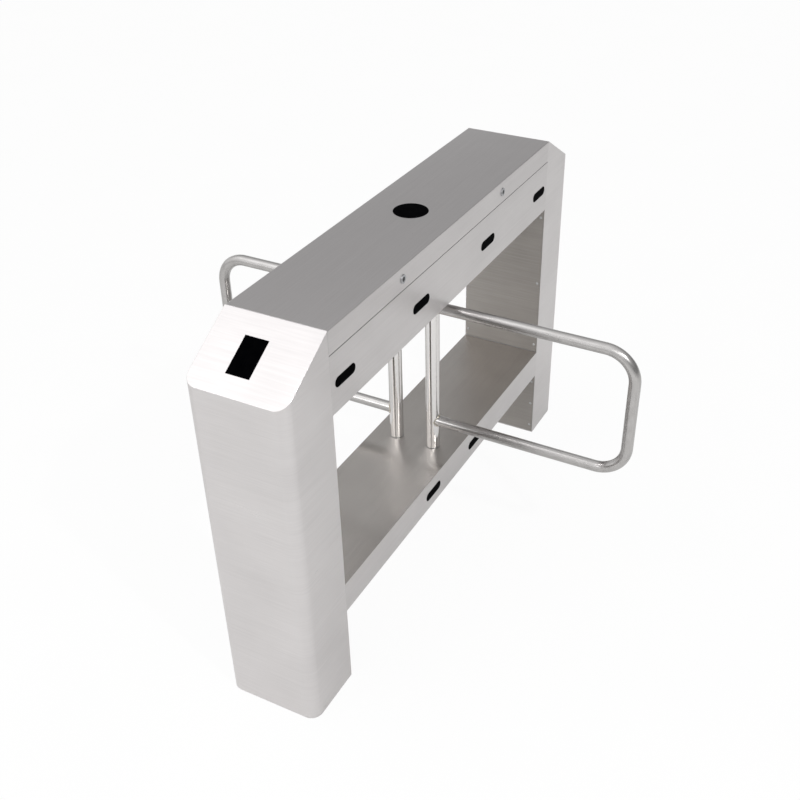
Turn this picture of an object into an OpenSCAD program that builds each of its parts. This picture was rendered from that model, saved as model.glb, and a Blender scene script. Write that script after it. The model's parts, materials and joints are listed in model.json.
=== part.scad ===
// Bridge-type dual swing barrier: two legs carry a beam and a lower rail, and two
// posts between the shelf and the beam each swing a U-shaped tube arm.
// X runs along the housing, Y across it, Z up. The origin is on the floor at the centre.
// "Near" is the -X end, "far" the +X end, "front" the -Y side and "back" the +Y side.

/* [Housing] */
// Overall length of the housing
body_l = 1510; // [1440:10:1600]
// Overall width of the housing
body_w = 250; // [246:1:280]
// Height of the flat top above the floor
body_h = 1000; // [960:5:1050]
// Length of one leg, along the housing
leg_l = 167; // [158:1:182]
// Drop of the sloped end below the flat top
slope_drop = 100; // [80:5:115]
// Radius of the upright corners at both ends
corner_r = 30; // [22:1:44]
// Thickness of the stainless sheet
sheet_t = 2; // [1.5:0.1:2.5]
// Height of the beam, from its underside to the flat top
beam_h = 207; // [205:1:220]
// Height of the lid's skirt
lid_h = 59; // [54:1:64]
// Radius of the folded long edges
fold_r = 3; // [2.6:0.1:4]
// Height of the shelf's top above the floor
shelf_z = 311; // [290:1:330]
// Height of the lower rail's face
rail_h = 89; // [80:1:100]
// Gap at the seams between separate sheet parts
seam = 0.5; // [0.3:0.1:1]

/* [Arms] */
// Outer diameter of a post
post_d = 38; // [34:1:40]
// Distance of each post's axis from the middle plane
post_y = 57; // [54:0.5:60]
// Outer diameter of the arm tube
tube_d = 30; // [24:1:34]
// Wall of the post and arm tubes
tube_t = 1.5; // [1.2:0.1:2]
// Gap between the tip of a folded arm and the leg
arm_tip_gap = 27; // [20:1:80]
// Distance of the upper arm tube's axis below the beam
arm_drop = 43; // [21:1:50]
// Distance of the lower arm tube's axis above the shelf
arm_lift = 88; // [80:1:130]
// Centreline radius of the arm's bends
bend_r = 80; // [60:5:110]
// Running gap between the arms and the housing
run_gap = 0.3; // [0.2:0.1:0.6]

/* [Drive] */
// Module of the gear teeth
gear_m = 1.5; // [1.5:0.05:1.6]
// Teeth of the gear on the post's shaft
gear_teeth = 60; // [56:1:60]
// Teeth of the motor pinion
pinion_teeth = 20; // [18:1:20]
// Face width of the drive gear
gear_w = 12; // [9:1:13]
// Play between meshing teeth
backlash = 0.4; // [0.3:0.05:0.5]
// Thickness of the two drive plates
plate_t = 6; // [5:0.5:8]
// Half length of the drive plates
plate_half_l = 112; // [106:1:130]
// Gap between the drive plates and the beam's side walls
plate_side_gap = 15; // [12:1:18]
// Free height between the drive plates
plate_space = 59; // [57:1:62]
// Diameter of the post's upper shaft
top_shaft_d = 25; // [20:1:28]
// Diameter of the post's lower shaft
foot_shaft_d = 20; // [16:1:24]
// Radial clearance of a shaft in its bearing
run_fit = 0.05; // [0.03:0.01:0.08]
// Height of a bearing housing
bearing_h = 18; // [16:0.5:20]
// Diameter of the motor pinion's shaft
motor_shaft_d = 10; // [8:0.5:12]
// Diameter of a gearbox
gearbox_d = 56; // [50:1:60]
// Height of a gearbox
gearbox_h = 48; // [42:1:50]
// Diameter of a motor
motor_d = 50; // [44:1:54]
// Height of a motor
motor_h = 60; // [50:1:62]
// Length of the stop lever from the shaft's axis
lever_r = 42; // [40:1:44]
// Width of the stop lever
lever_w = 16; // [12:1:18]
// Radius of a rubber stop buffer
buffer_r = 7; // [6:0.5:8]

/* [Windows] */
// Length of a sensor window
lens_l = 82; // [62:1:90]
// Height of a sensor window
lens_h = 25; // [22:1:30]
// Distance of the inner upper sensors from the centre
lens_x1 = 186; // [175:1:200]
// Distance of the outer upper sensors from the leg
lens_end = 57; // [52:1:80]
// Height of the upper sensors above the beam's underside
lens_up = 71; // [62:1:80]
// Distance of the lower sensors from the centre
low_lens_x = 130; // [110:1:200]
// Length of a reader window, down the slope
reader_l = 92; // [80:1:96]
// Width of a reader window
reader_w = 58; // [50:1:70]
// Sideways offset of a reader window from the middle plane
reader_off = 14; // [0:1:20]
// Distance from the slope's top edge to the reader window
reader_start = 54; // [48:1:58]
// Diameter of the round indicator window
indicator_d = 88; // [80:1:92]

/* [Lid] */
// Distance of a lid lock from the centre
lock_x = 272; // [250:1:300]
// Distance of a lid lock below the flat top
lock_drop = 31; // [28:1:33]
// Diameter of a lock's head
lock_d = 22; // [20:0.5:24]
// Diameter of a lock's turning plug
plug_d = 12; // [10:0.5:13]
// Outer diameter of the hinge knuckles
knuckle_d = 6; // [5.5:0.1:6]
// Diameter of the hinge pin
pin_d = 3; // [2.5:0.1:3]
// Length of one hinge knuckle
knuckle_l = 42; // [36:1:48]

/* [Feet] */
// Thickness of a base plate
base_t = 6; // [5:0.5:10]
// Distance between anchor holes along the housing
anchor_x = 90; // [80:1:100]
// Distance between anchor holes across the housing
anchor_y = 170; // [160:1:180]
// Diameter of an anchor hole
anchor_d = 14; // [11:0.5:16]
// Diameter of the cable hole in a base plate
cable_hole_d = 50; // [40:1:56]
// Diameter of the cable that links the two wiring ducts
link_d = 6; // [5:0.5:6.5]

/* [Hidden] */

steel = [0.72, 0.71, 0.71];
dark_steel = [0.55, 0.54, 0.53];
zinc = [0.62, 0.63, 0.65];
black = [0.05, 0.05, 0.06];
board_green = [0.08, 0.32, 0.18];

// Number of sides used to draw a full circle
$fn = 72;
// Small overrun of a cutting solid past the face it cuts
cut = 1;
// Gap between a screw and its hole
screw_gap = 0.1;

half_l = body_l / 2;
half_w = body_w / 2;
half_open = half_l - leg_l;
beam_z = body_h - beam_h;
floor_z = beam_z + sheet_t;
lid_z = body_h - lid_h;
rim_z = lid_z - 3 * seam;
rail_z = shelf_z - rail_h;
slope_a = atan(slope_drop / leg_l);
slope_t = sheet_t / cos(slope_a);
inner_w = half_w - sheet_t;
arm_reach = half_open + post_y - tube_d / 2 - arm_tip_gap;
arm_top_z = beam_z - arm_drop;
arm_low_z = shelf_z + arm_lift;

// Legs: the rebate that holds the access panels, and the panel screws
frame_t = 2 * sheet_t;
rebate_w = 18;
panel_screw_r = 2;
panel_screw_inset = 9;
panel_screw_end = 25;
panel_foot_gap = 4;
bracket_t = 6;
bracket_bolt_r = 4;
bracket_bolt_inset = 22;
bracket_bolt_y = half_w - bracket_bolt_inset;
beam_bolt_inset = 40;
// Width of a beam bracket beside, below and above its cable hole
bracket_side = 45;
bracket_low = 30;
bracket_high = 25;
end_flange_t = 3;
end_flange_w = 36;

// Drive stack, from the beam's floor upwards
plate_half_w = inner_w - plate_side_gap;
plate_corner_r = 8;
drive_z = floor_z + plate_t;
bearing_top_z = drive_z + bearing_h;
lever_z = bearing_top_z + 3;
lever_t = 10;
gear_z = lever_z + lever_t + 3;
top_plate_z = drive_z + plate_space;
motor_base_z = top_plate_z + plate_t;
top_bearing_h = 14;
shaft_end_z = motor_base_z + top_bearing_h + 4;
pinion_w = gear_w + 4;
pinion_z = gear_z - 2;
gear_r = gear_m * gear_teeth / 2;
pinion_r = gear_m * pinion_teeth / 2;
pinion_x = gear_r + pinion_r;
standoff_r = 7;
standoff_inset = 12;
standoff_x = plate_half_l - standoff_inset;
standoff_y = plate_half_w - standoff_inset;
bearing_r = 22;
bearing_flange_r = 27;
bearing_flange_t = 6;
buffer_pin_r = 3;
buffer_x = 31;
buffer_y = lever_w / 2 + run_gap + buffer_r;
buffer_z = lever_z - 2;
buffer_h = lever_t + 4;

// Lower bearing, hung under the shelf
foot_plate_half_l = 60;
foot_plate_z = shelf_z - sheet_t - plate_t;
foot_bearing_z = foot_plate_z - bearing_h;
foot_shaft_end_z = foot_bearing_z - 3;
collar_t = 1.7;
post_z0 = shelf_z + run_gap + collar_t;
post_z1 = beam_z - run_gap - collar_t;
plug_l = 25;

// Windows
window_gap = 0.2;
window_proud = 0.6;
window_flange = 4;
window_flange_t = 2;
lens_z = beam_z + lens_up;
lens_x2 = half_open - lens_end;
low_lens_z = (rail_z + shelf_z) / 2 - sheet_t;
upper_lens_xs = [-lens_x2, -lens_x1, lens_x1, lens_x2];
low_lens_xs = [-low_lens_x, low_lens_x];
sensor_l = 60;
sensor_h = 22;
sensor_off = 8;
sensor_plug = [12, 6, 8];

// Lid
lid_half_l = half_open - seam;
indicator_r = indicator_d / 2;
indicator_flange_t = 2;
cup_h = 20;
cup_wall = 3;
cup_floor = 2;
cup_z = body_h - sheet_t - indicator_flange_t - cup_h;
lock_z = body_h - lock_drop;
lock_body_r = 9.5;
lock_body_l = 16;
lock_face_t = 2;
cam_t = 2;
cam_w = 12;
cam_r = 24;
cam_y = -inner_w + lock_body_l + 1.5;
knuckle_r = knuckle_d / 2;
hinge_y = half_w + knuckle_r + run_gap;
hinge_z = (rim_z + lid_z) / 2;
leaf_t = 1.2;
leaf_h = 22;
hinge_half_l = half_open - 30;
knuckle_gap = 0.4;
knuckle_count = floor(2 * hinge_half_l / (knuckle_l + knuckle_gap));
knuckle_start = -knuckle_count * (knuckle_l + knuckle_gap) / 2;
flange_w = 14;
gasket_w = 6;
gasket_t = lid_z - rim_z - run_gap;

// Parts inside the beam: terminals and control board at the near end, supply at the far end
board_t = 1.6;
board_l = 170;
board_w = 110;
board_spacer_h = 8;
board_inset = 6;
strip_end = 56;
strip_x = -half_open + strip_end;
board_x = strip_x + 1.55 * strip_end + board_l / 2;
psu_l = 200;
psu_w = 98;
psu_h = 42;
psu_end = 148;
psu_x = half_open - psu_end - psu_l / 2;
duct_w = 32;
duct_h = 40;
duct_y = board_w / 2 + 1 + duct_w / 2;
duct_x0 = plate_half_l + 18;
duct_x1 = half_open - 28;
strip_l = 146;
strip_y0 = duct_y - duct_w / 2 - strip_l - 1;
link_r = link_d / 2;
link_bend = 4 * link_d;
link_x = duct_x0 + 30;
link_y = (plate_half_w + inner_w) / 2;
link_z = floor_z + link_r + run_gap;
anchor_cx = half_open + (leg_l + frame_t) / 2;

// Point on the involute of a base circle, at radius r, with its polar angle added
function involute_angle(rb, r) = let (t = sqrt(pow(r / rb, 2) - 1)) t * 180 / PI - atan(t);
function polar(r, a) = [r * cos(a), r * sin(a)];

// Turns its children half a turn about Z, so a far piece also makes the near one
module turned(on) {
    rotate([0, 0, on ? 180 : 0]) children();
}

// Plan of one leg at the +X end, drawn inwards by inset from the outside
module leg_plan(inset, x0) {
    r = corner_r - inset;
    cx = half_l - corner_r;
    cy = half_w - corner_r;
    translate([x0, -half_w + inset]) square([cx - x0, body_w - 2 * inset]);
    translate([x0, -cy]) square([half_l - inset - x0, 2 * cy]);
    for (s = [-1, 1]) translate([cx, s * cy]) circle(r = r);
}

// Solid below the sloped top, lowered by drop, as wide as the housing
module under_slope(drop, z0) {
    x1 = half_l + cut;
    z1 = body_h - drop - tan(slope_a) * (x1 - half_open);
    rotate([90, 0, 0])
        linear_extrude(height = body_w + 2 * cut, center = true)
            polygon([[half_open - cut, z0], [x1, z0], [x1, z1],
                     [half_open, body_h - drop], [half_open - cut, body_h - drop]]);
}

// Frame on the far slope: x runs down the slope, z points out of it
module on_slope() {
    translate([half_open, 0, body_h]) rotate([0, slope_a, 0]) children();
}

// Rectangle across X that runs from z0 to z1 on the leg's inner face
module inner_face_block(x0, x1, half_y, z0, z1) {
    translate([x0, -half_y, z0]) cube([x1 - x0, 2 * half_y, z1 - z0]);
}

// Heights of the two access panels of a leg
panel_spans = [[panel_foot_gap, rail_z - seam], [shelf_z + seam, beam_z - seam]];

// Places a child at each panel screw of the far leg, pointing towards the opening
module panel_screw_spots() {
    for (span = panel_spans)
        for (z = [span[0] + panel_screw_end, (span[0] + span[1]) / 2, span[1] - panel_screw_end])
            for (s = [-1, 1])
                translate([half_open, s * (inner_w - panel_screw_inset), z])
                    rotate([0, -90, 0]) children();
}

// Places a child at each bracket bolt of the far leg, pointing into the leg
module bracket_bolt_spots() {
    for (z = [rail_z + bracket_bolt_inset, shelf_z - bracket_bolt_inset,
              beam_z + beam_bolt_inset, lid_z - beam_bolt_inset])
        for (s = [-1, 1])
            translate([half_open, s * bracket_bolt_y, z]) rotate([0, 90, 0]) children();
}

module leg_casing() {
    color(steel) difference() {
        intersection() {
            linear_extrude(height = body_h) leg_plan(0, half_open);
            under_slope(0, 0);
        }
        intersection() {
            translate([0, 0, -cut]) linear_extrude(height = body_h) leg_plan(sheet_t, half_open + frame_t);
            under_slope(slope_t, -2 * cut);
        }
        inner_face_block(half_open - cut, half_open + frame_t + cut, inner_w, beam_z, rim_z);
        inner_face_block(half_open - cut, half_open + frame_t + cut, inner_w, rail_z, shelf_z);
        for (span = panel_spans) {
            inner_face_block(half_open - cut, half_open + sheet_t, inner_w, span[0] - seam, span[1] + seam);
            inner_face_block(half_open - cut, half_open + frame_t + cut, inner_w - rebate_w,
                             span[0] + rebate_w, span[1] - rebate_w);
        }
        panel_screw_spots() translate([0, 0, -frame_t - cut]) cylinder(r = panel_screw_r + screw_gap, h = 20);
        on_slope() reader_cutout();
    }
}

module near_leg_casing() { turned(true) leg_casing(); }
module far_leg_casing() { turned(false) leg_casing(); }

module base_plate() {
    color(zinc) difference() {
        linear_extrude(height = base_t) leg_plan(sheet_t, half_open + frame_t);
        for (sx = [-1, 1], sy = [-1, 1])
            translate([anchor_cx + sx * anchor_x / 2, sy * anchor_y / 2, -cut])
                cylinder(d = anchor_d, h = base_t + 2 * cut);
        translate([anchor_cx, 0, -cut]) cylinder(d = cable_hole_d, h = base_t + 2 * cut);
    }
}

module near_base_plate() { turned(true) base_plate(); }
module far_base_plate() { turned(false) base_plate(); }

module access_panels() {
    color(steel) difference() {
        for (span = panel_spans)
            inner_face_block(half_open, half_open + sheet_t, inner_w - seam, span[0], span[1]);
        panel_screw_spots() translate([0, 0, -frame_t]) cylinder(r = panel_screw_r + screw_gap, h = 20);
    }
}

module near_access_panels() { turned(true) access_panels(); }
module far_access_panels() { turned(false) access_panels(); }

// Low round head on a shank, with the head's seat at z = 0
module button_screw(r, shank, recess) {
    head_r = 2 * r;
    head_h = 0.9 * r;
    difference() {
        union() {
            rotate_extrude() polygon([[0, 0], [head_r, 0], [head_r, head_h * 0.4],
                                      [head_r * 0.6, head_h], [0, head_h]]);
            translate([0, 0, -shank]) cylinder(r = r, h = shank);
        }
        translate([0, 0, head_h - recess]) cylinder(r = r * 0.7, h = recess + cut, $fn = 6);
    }
}

module panel_screws() {
    color(zinc) for (near = [false, true])
        turned(near) panel_screw_spots() button_screw(panel_screw_r, 8, 0.8);
}

// Plates that close the leg's inner face where the beam and the rail meet it
module joint_brackets() {
    color(zinc) for (near = [false, true]) turned(near) {
        difference() {
            union() {
                inner_face_block(half_open, half_open + bracket_t, inner_w, rail_z, shelf_z);
                inner_face_block(half_open, half_open + bracket_t, inner_w, beam_z, rim_z);
            }
            inner_face_block(half_open - cut, half_open + bracket_t + cut, inner_w - bracket_side,
                             beam_z + bracket_low, rim_z - bracket_high);
            bracket_bolt_spots()
                translate([0, 0, -cut]) cylinder(r = bracket_bolt_r + screw_gap, h = bracket_t + 2 * cut);
        }
    }
}

// Hexagon head at z = 0 .. head, shank below it
module hex_bolt(r, shank) {
    cylinder(r = 1.75 * r, h = 1.3 * r, $fn = 6);
    translate([0, 0, -shank]) cylinder(r = r, h = shank);
}

// The bolts come from inside the leg and end in the flanges of the beam and the rail
module bracket_bolts() {
    color(zinc) for (near = [false, true]) turned(near) bracket_bolt_spots()
        translate([0, 0, bracket_t]) hex_bolt(bracket_bolt_r, bracket_t + end_flange_t);
}

// End flanges inside the beam and the rail, which the bracket bolts hold
module end_flanges(z0, z1) {
    for (near = [false, true], s = [-1, 1]) turned(near)
        translate([half_open - end_flange_t, s > 0 ? inner_w - end_flange_w : -inner_w, z0])
            cube([end_flange_t, end_flange_w, z1 - z0]);
}

// Section of a long folded box, with its lower or upper edges rounded
module folded_section(half_y, z0, z1, r, low, high) {
    zl = low ? z0 + r : z0;
    zh = high ? z1 - r : z1;
    translate([-half_y, zl]) square([2 * half_y, zh - zl]);
    if (low || high) translate([-half_y + r, z0]) square([2 * (half_y - r), z1 - z0]);
    if (low) for (s = [-1, 1]) translate([s * (half_y - r), z0 + r]) circle(r = r);
    if (high) for (s = [-1, 1]) translate([s * (half_y - r), z1 - r]) circle(r = r);
}

// Runs a section drawn across the housing along X
module along_x(x0, x1) {
    translate([x0, 0, 0]) rotate([90, 0, 90]) linear_extrude(height = x1 - x0) children();
}

// Stadium across Y: length along X, height along Z, from y0 to y1
module stadium(l, h, y0, y1) {
    translate([0, y1, 0]) rotate([90, 0, 0]) linear_extrude(height = y1 - y0) {
        square([l - h, h], center = true);
        for (s = [-1, 1]) translate([s * (l - h) / 2, 0]) circle(d = h);
    }
}

// Places a child at each sensor of the front side
module upper_lens_spots() { for (x = upper_lens_xs) translate([x, 0, lens_z]) children(); }
module low_lens_spots() { for (x = low_lens_xs) translate([x, 0, low_lens_z]) children(); }

module lens_cutout() {
    stadium(lens_l, lens_h, -half_w - cut, -half_w + sheet_t + cut);
}

module beam_trough() {
    color(steel) difference() {
        union() {
            difference() {
                along_x(-half_open, half_open) folded_section(half_w, beam_z, rim_z, fold_r, true, false);
                along_x(-half_open - cut, half_open + cut)
                    folded_section(inner_w, floor_z, rim_z - sheet_t, fold_r - sheet_t, true, false);
                translate([-half_open - cut, -half_w + flange_w, rim_z - sheet_t - cut])
                    cube([2 * (half_open + cut), body_w - 2 * flange_w, sheet_t + 2 * cut]);
            }
            end_flanges(floor_z, rim_z - sheet_t);
        }
        for (back = [false, true]) turned(back) {
            upper_lens_spots() lens_cutout();
            translate([0, -post_y, beam_z - cut]) cylinder(r = top_shaft_d / 2 + 2, h = sheet_t + 2 * cut);
            bracket_bolt_spots() translate([0, 0, -end_flange_t - cut])
                cylinder(r = bracket_bolt_r + screw_gap, h = end_flange_t + 2 * cut);
        }
    }
}

// Rubber strip round the trough's rim, under the lid's skirt
module lid_gasket() {
    color(black) difference() {
        translate([-lid_half_l, -half_w + seam, rim_z])
            cube([2 * lid_half_l, body_w - 2 * seam, gasket_t]);
        translate([-lid_half_l - cut, -half_w + seam + gasket_w, rim_z - cut])
            cube([2 * (lid_half_l + cut), body_w - 2 * (seam + gasket_w), gasket_t + 2 * cut]);
    }
}

module lower_rail() {
    color(steel) difference() {
        union() {
            difference() {
                along_x(-half_open, half_open)
                    folded_section(half_w, rail_z, shelf_z - sheet_t, fold_r, true, false);
                along_x(-half_open - cut, half_open + cut)
                    folded_section(inner_w, rail_z + sheet_t, shelf_z, fold_r - sheet_t, true, false);
            }
            end_flanges(rail_z + sheet_t, shelf_z - sheet_t);
        }
        for (back = [false, true]) turned(back) {
            low_lens_spots() lens_cutout();
            bracket_bolt_spots() translate([0, 0, -end_flange_t - cut])
                cylinder(r = bracket_bolt_r + screw_gap, h = end_flange_t + 2 * cut);
        }
    }
}

module shelf_plate() {
    color(dark_steel) difference() {
        translate([-half_open, -half_w, shelf_z - sheet_t]) cube([2 * half_open, body_w, sheet_t]);
        for (s = [-1, 1]) translate([0, s * post_y, shelf_z - sheet_t - cut])
            cylinder(r = foot_shaft_d / 2 + 2, h = sheet_t + 2 * cut);
    }
}

// Window plate that fills its cutout and is held by a flange behind the sheet
module sensor_window() {
    stadium(lens_l - 2 * window_gap, lens_h - 2 * window_gap,
            -half_w - window_proud, -inner_w);
    stadium(lens_l + 2 * window_flange, lens_h + 2 * window_flange, -inner_w, -inner_w + window_flange_t);
}

module sensor_windows() {
    color(black) {
        upper_lens_spots() sensor_window();
        low_lens_spots() sensor_window();
    }
}

module front_sensor_windows() { turned(false) sensor_windows(); }
module back_sensor_windows() { turned(true) sensor_windows(); }

// Infrared pair on a small board, which stands on the back of its window
module sensor_board() {
    y0 = -inner_w + window_flange_t;
    y1 = y0 + sensor_off;
    for (s = [-1, 1]) {
        translate([s * 0.4 * sensor_l, y0, 0]) rotate([-90, 0, 0]) cylinder(r = 2.5, h = sensor_off);
        translate([s * sensor_l / 6, y0, 0]) rotate([-90, 0, 0]) cylinder(r = 4, h = sensor_off);
    }
    translate([-sensor_l / 2, y1, -sensor_h / 2]) cube([sensor_l, board_t, sensor_h]);
    translate([-sensor_plug.x / 2, y1 + board_t, -sensor_plug.z / 2]) cube(sensor_plug);
}

module sensor_boards() {
    color(board_green) for (back = [false, true]) turned(back) {
        upper_lens_spots() sensor_board();
        low_lens_spots() sensor_board();
    }
}

// Frame of the reader window's centre on the far slope
module reader_frame() {
    translate([reader_start + reader_l / 2, -reader_off, 0]) children();
}

module reader_cutout() {
    reader_frame() translate([-reader_l / 2, -reader_w / 2, -2 * sheet_t])
        cube([reader_l, reader_w, 4 * sheet_t]);
}

// Black plate flush in the slope, with its flange behind the sheet
module reader_window() {
    color(black) on_slope() reader_frame() {
        translate([-reader_l / 2 + window_gap, -reader_w / 2 + window_gap, -sheet_t])
            cube([reader_l - 2 * window_gap, reader_w - 2 * window_gap, sheet_t + window_proud]);
        translate([-reader_l / 2 - window_flange, -reader_w / 2 - window_flange, -sheet_t - window_flange_t])
            cube([reader_l + 2 * window_flange, reader_w + 2 * window_flange, window_flange_t]);
    }
}

module near_reader_window() { turned(true) reader_window(); }
module far_reader_window() { turned(false) reader_window(); }

// Card reader box on the back of its window, with a cable gland below
module card_reader() {
    depth = 18;
    color([0.16, 0.16, 0.17]) on_slope() reader_frame()
        translate([0, 0, -sheet_t - window_flange_t - depth]) difference() {
            translate([-reader_l / 2 + 4, -reader_w / 2 + 3, 0]) cube([reader_l - 8, reader_w - 6, depth]);
            translate([0, 0, -cut]) cylinder(r = 5, h = 6 + cut);
        }
}

module near_card_reader() { turned(true) card_reader(); }
module far_card_reader() { turned(false) card_reader(); }

// Plan of both drive plates, without their holes
module drive_plan() {
    r = plate_corner_r;
    translate([-plate_half_l + r, -plate_half_w]) square([2 * (plate_half_l - r), 2 * plate_half_w]);
    translate([-plate_half_l, -plate_half_w + r]) square([2 * plate_half_l, 2 * (plate_half_w - r)]);
    for (sx = [-1, 1], sy = [-1, 1])
        translate([sx * (plate_half_l - r), sy * (plate_half_w - r)]) circle(r = r);
}

// Places a child at each standoff between the drive plates
module standoff_spots() {
    for (sx = [-1, 1], sy = [-1, 1]) translate([sx * standoff_x, sy * standoff_y, 0]) children();
}

// Places a child at both buffers of the front lever
module buffer_spots() {
    for (sx = [-1, 1]) translate([sx * buffer_x, -post_y + buffer_y, 0]) children();
}

module drive_base_plate() {
    color(zinc) translate([0, 0, floor_z]) linear_extrude(height = plate_t) difference() {
        drive_plan();
        for (s = [-1, 1]) translate([0, s * post_y]) circle(r = top_shaft_d / 2 + 2);
        standoff_spots() circle(r = bracket_bolt_r + screw_gap);
        for (back = [false, true]) turned(back) buffer_spots() circle(r = buffer_pin_r);
    }
}

module drive_top_plate() {
    color(zinc) translate([0, 0, top_plate_z]) linear_extrude(height = plate_t) difference() {
        drive_plan();
        for (s = [-1, 1]) translate([0, s * post_y]) circle(r = top_shaft_d / 2 + 2);
        for (s = [-1, 1]) translate([s * pinion_x, s * post_y]) circle(r = motor_shaft_d / 2 + 3);
        standoff_spots() circle(r = bracket_bolt_r + screw_gap);
    }
}

// Sleeves between the drive plates, each with one long bolt through both plates
module plate_standoffs() {
    color(zinc) standoff_spots() {
        translate([0, 0, drive_z]) difference() {
            cylinder(r = standoff_r, h = plate_space);
            translate([0, 0, -cut]) cylinder(r = bracket_bolt_r + screw_gap, h = plate_space + 2 * cut);
        }
        translate([0, 0, motor_base_z]) hex_bolt(bracket_bolt_r, plate_t + plate_space + plate_t);
    }
}

// Rubber sleeve on a steel pin that stands in the base plate
module stop_buffers() {
    color(black) for (back = [false, true]) turned(back) buffer_spots() {
        translate([0, 0, buffer_z]) cylinder(r = buffer_r, h = buffer_h);
        translate([0, 0, floor_z]) cylinder(r = buffer_pin_r, h = buffer_z - floor_z);
    }
}

// Planetary gearbox above the top plate, with the pinion shaft's bore
module gearbox() {
    bore_h = 24;
    flange_t = 5;
    color([0.42, 0.43, 0.45]) translate([-pinion_x, -post_y, motor_base_z]) difference() {
        rotate_extrude() polygon([
            [0, 0], [gearbox_d / 2, 0], [gearbox_d / 2, flange_t], [gearbox_d / 2 - 2, flange_t + 1],
            [gearbox_d / 2 - 2, gearbox_h / 2 - 1], [gearbox_d / 2 - 1, gearbox_h / 2],
            [gearbox_d / 2 - 2, gearbox_h / 2 + 1], [gearbox_d / 2 - 2, gearbox_h - 2],
            [gearbox_d / 2 - 4, gearbox_h], [0, gearbox_h]]);
        translate([0, 0, -cut]) cylinder(r = motor_shaft_d / 2 + run_fit, h = bore_h + cut);
    }
}

module front_gearbox() { turned(false) gearbox(); }
module back_gearbox() { turned(true) gearbox(); }

// Motor can with its end cap and plug socket
module motor() {
    cap_h = 10;
    color([0.12, 0.12, 0.13]) translate([-pinion_x, -post_y, motor_base_z + gearbox_h]) {
        rotate_extrude() polygon([
            [0, 0], [motor_d / 2 - 1, 0], [motor_d / 2, 1], [motor_d / 2, motor_h - cap_h - 1],
            [motor_d / 2 - 1, motor_h - cap_h], [motor_d / 2 - 1, motor_h - 2],
            [motor_d / 2 - 3, motor_h], [0, motor_h]]);
        translate([-motor_d / 2 - 6, -8, 6]) cube([10, 16, 12]);
    }
}

module front_motor() { turned(false) motor(); }
module back_motor() { turned(true) motor(); }

// Round flanged bearing housing standing on z = 0, with its bore
module flange_bearing(bore_r, h) {
    difference() {
        rotate_extrude() polygon([
            [0, 0], [bearing_flange_r, 0], [bearing_flange_r, bearing_flange_t - 1],
            [bearing_flange_r - 1, bearing_flange_t], [bearing_r, bearing_flange_t],
            [bearing_r, h - 1], [bearing_r - 1, h], [0, h]]);
        translate([0, 0, -cut]) cylinder(r = bore_r + run_fit, h = h + 2 * cut);
    }
}

// The three bearings of the front post, two in the beam and one under the shelf
module post_bearings() {
    color(zinc) translate([0, -post_y, 0]) {
        translate([0, 0, drive_z]) flange_bearing(top_shaft_d / 2, bearing_h);
        translate([0, 0, motor_base_z]) flange_bearing(top_shaft_d / 2, top_bearing_h);
        translate([0, 0, foot_plate_z]) mirror([0, 0, 1]) flange_bearing(foot_shaft_d / 2, bearing_h);
    }
}

module front_bearings() { turned(false) post_bearings(); }
module back_bearings() { turned(true) post_bearings(); }

module foot_bearing_plate() {
    color(zinc) difference() {
        translate([-foot_plate_half_l, -inner_w, foot_plate_z])
            cube([2 * foot_plate_half_l, 2 * inner_w, plate_t]);
        for (s = [-1, 1]) translate([0, s * post_y, foot_plate_z - cut])
            cylinder(r = foot_shaft_d / 2 + 2, h = plate_t + 2 * cut);
    }
}

// Circuit board on four spacers, with its relays, connectors and controller
module control_board() {
    relay = [19, 15, 16];
    socket = [24, 10, 12];
    chip = [24, 24, 3];
    heat_sink = [40, 18, 10];
    color(board_green) translate([board_x, 0, floor_z]) {
        for (sx = [-1, 1], sy = [-1, 1])
            translate([sx * (board_l / 2 - board_inset), sy * (board_w / 2 - board_inset), 0])
                cylinder(r = 3, h = board_spacer_h);
        translate([-board_l / 2, -board_w / 2, board_spacer_h]) cube([board_l, board_w, board_t]);
        translate([0, 0, board_spacer_h + board_t]) {
            for (i = [0:3]) translate([(i - 3.2) * 1.15 * relay.x, 0.2 * board_w, 0]) cube(relay);
            for (i = [0:4]) translate([(i - 2.45) * 1.25 * socket.x, -0.46 * board_w, 0]) cube(socket);
            translate([-chip.x / 2, -0.18 * board_w, 0]) cube(chip);
            for (i = [0:2]) translate([0.24 * board_l + i * 14, 0.07 * board_w, 0]) cylinder(r = 5, h = 20);
            translate([0.2 * board_l, 0.24 * board_w, 0]) cube(heat_sink);
        }
    }
}

// Boxed power supply with its vent slots and screw terminals
module power_supply() {
    slot_w = 3;
    slot_pitch = 12;
    slot_depth = 2;
    block = [14, psu_w - 12, 16];
    screw_pitch = 11.5;
    color([0.66, 0.67, 0.68]) translate([psu_x - psu_l / 2, -psu_w / 2 - 6, floor_z]) {
        difference() {
            cube([psu_l, psu_w, psu_h]);
            for (i = [0:11]) translate([psu_l / 5 + i * slot_pitch, psu_w / 7, psu_h - slot_depth])
                cube([slot_w, psu_w * 5 / 7, slot_depth + cut]);
        }
        translate([-block.x, (psu_w - block.y) / 2, 0]) difference() {
            cube(block);
            for (i = [0:6]) translate([block.x / 2, block.y / 2 + (i - 3) * screw_pitch, 0.75 * block.z])
                cylinder(r = 3, h = block.z);
        }
    }
}

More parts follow.
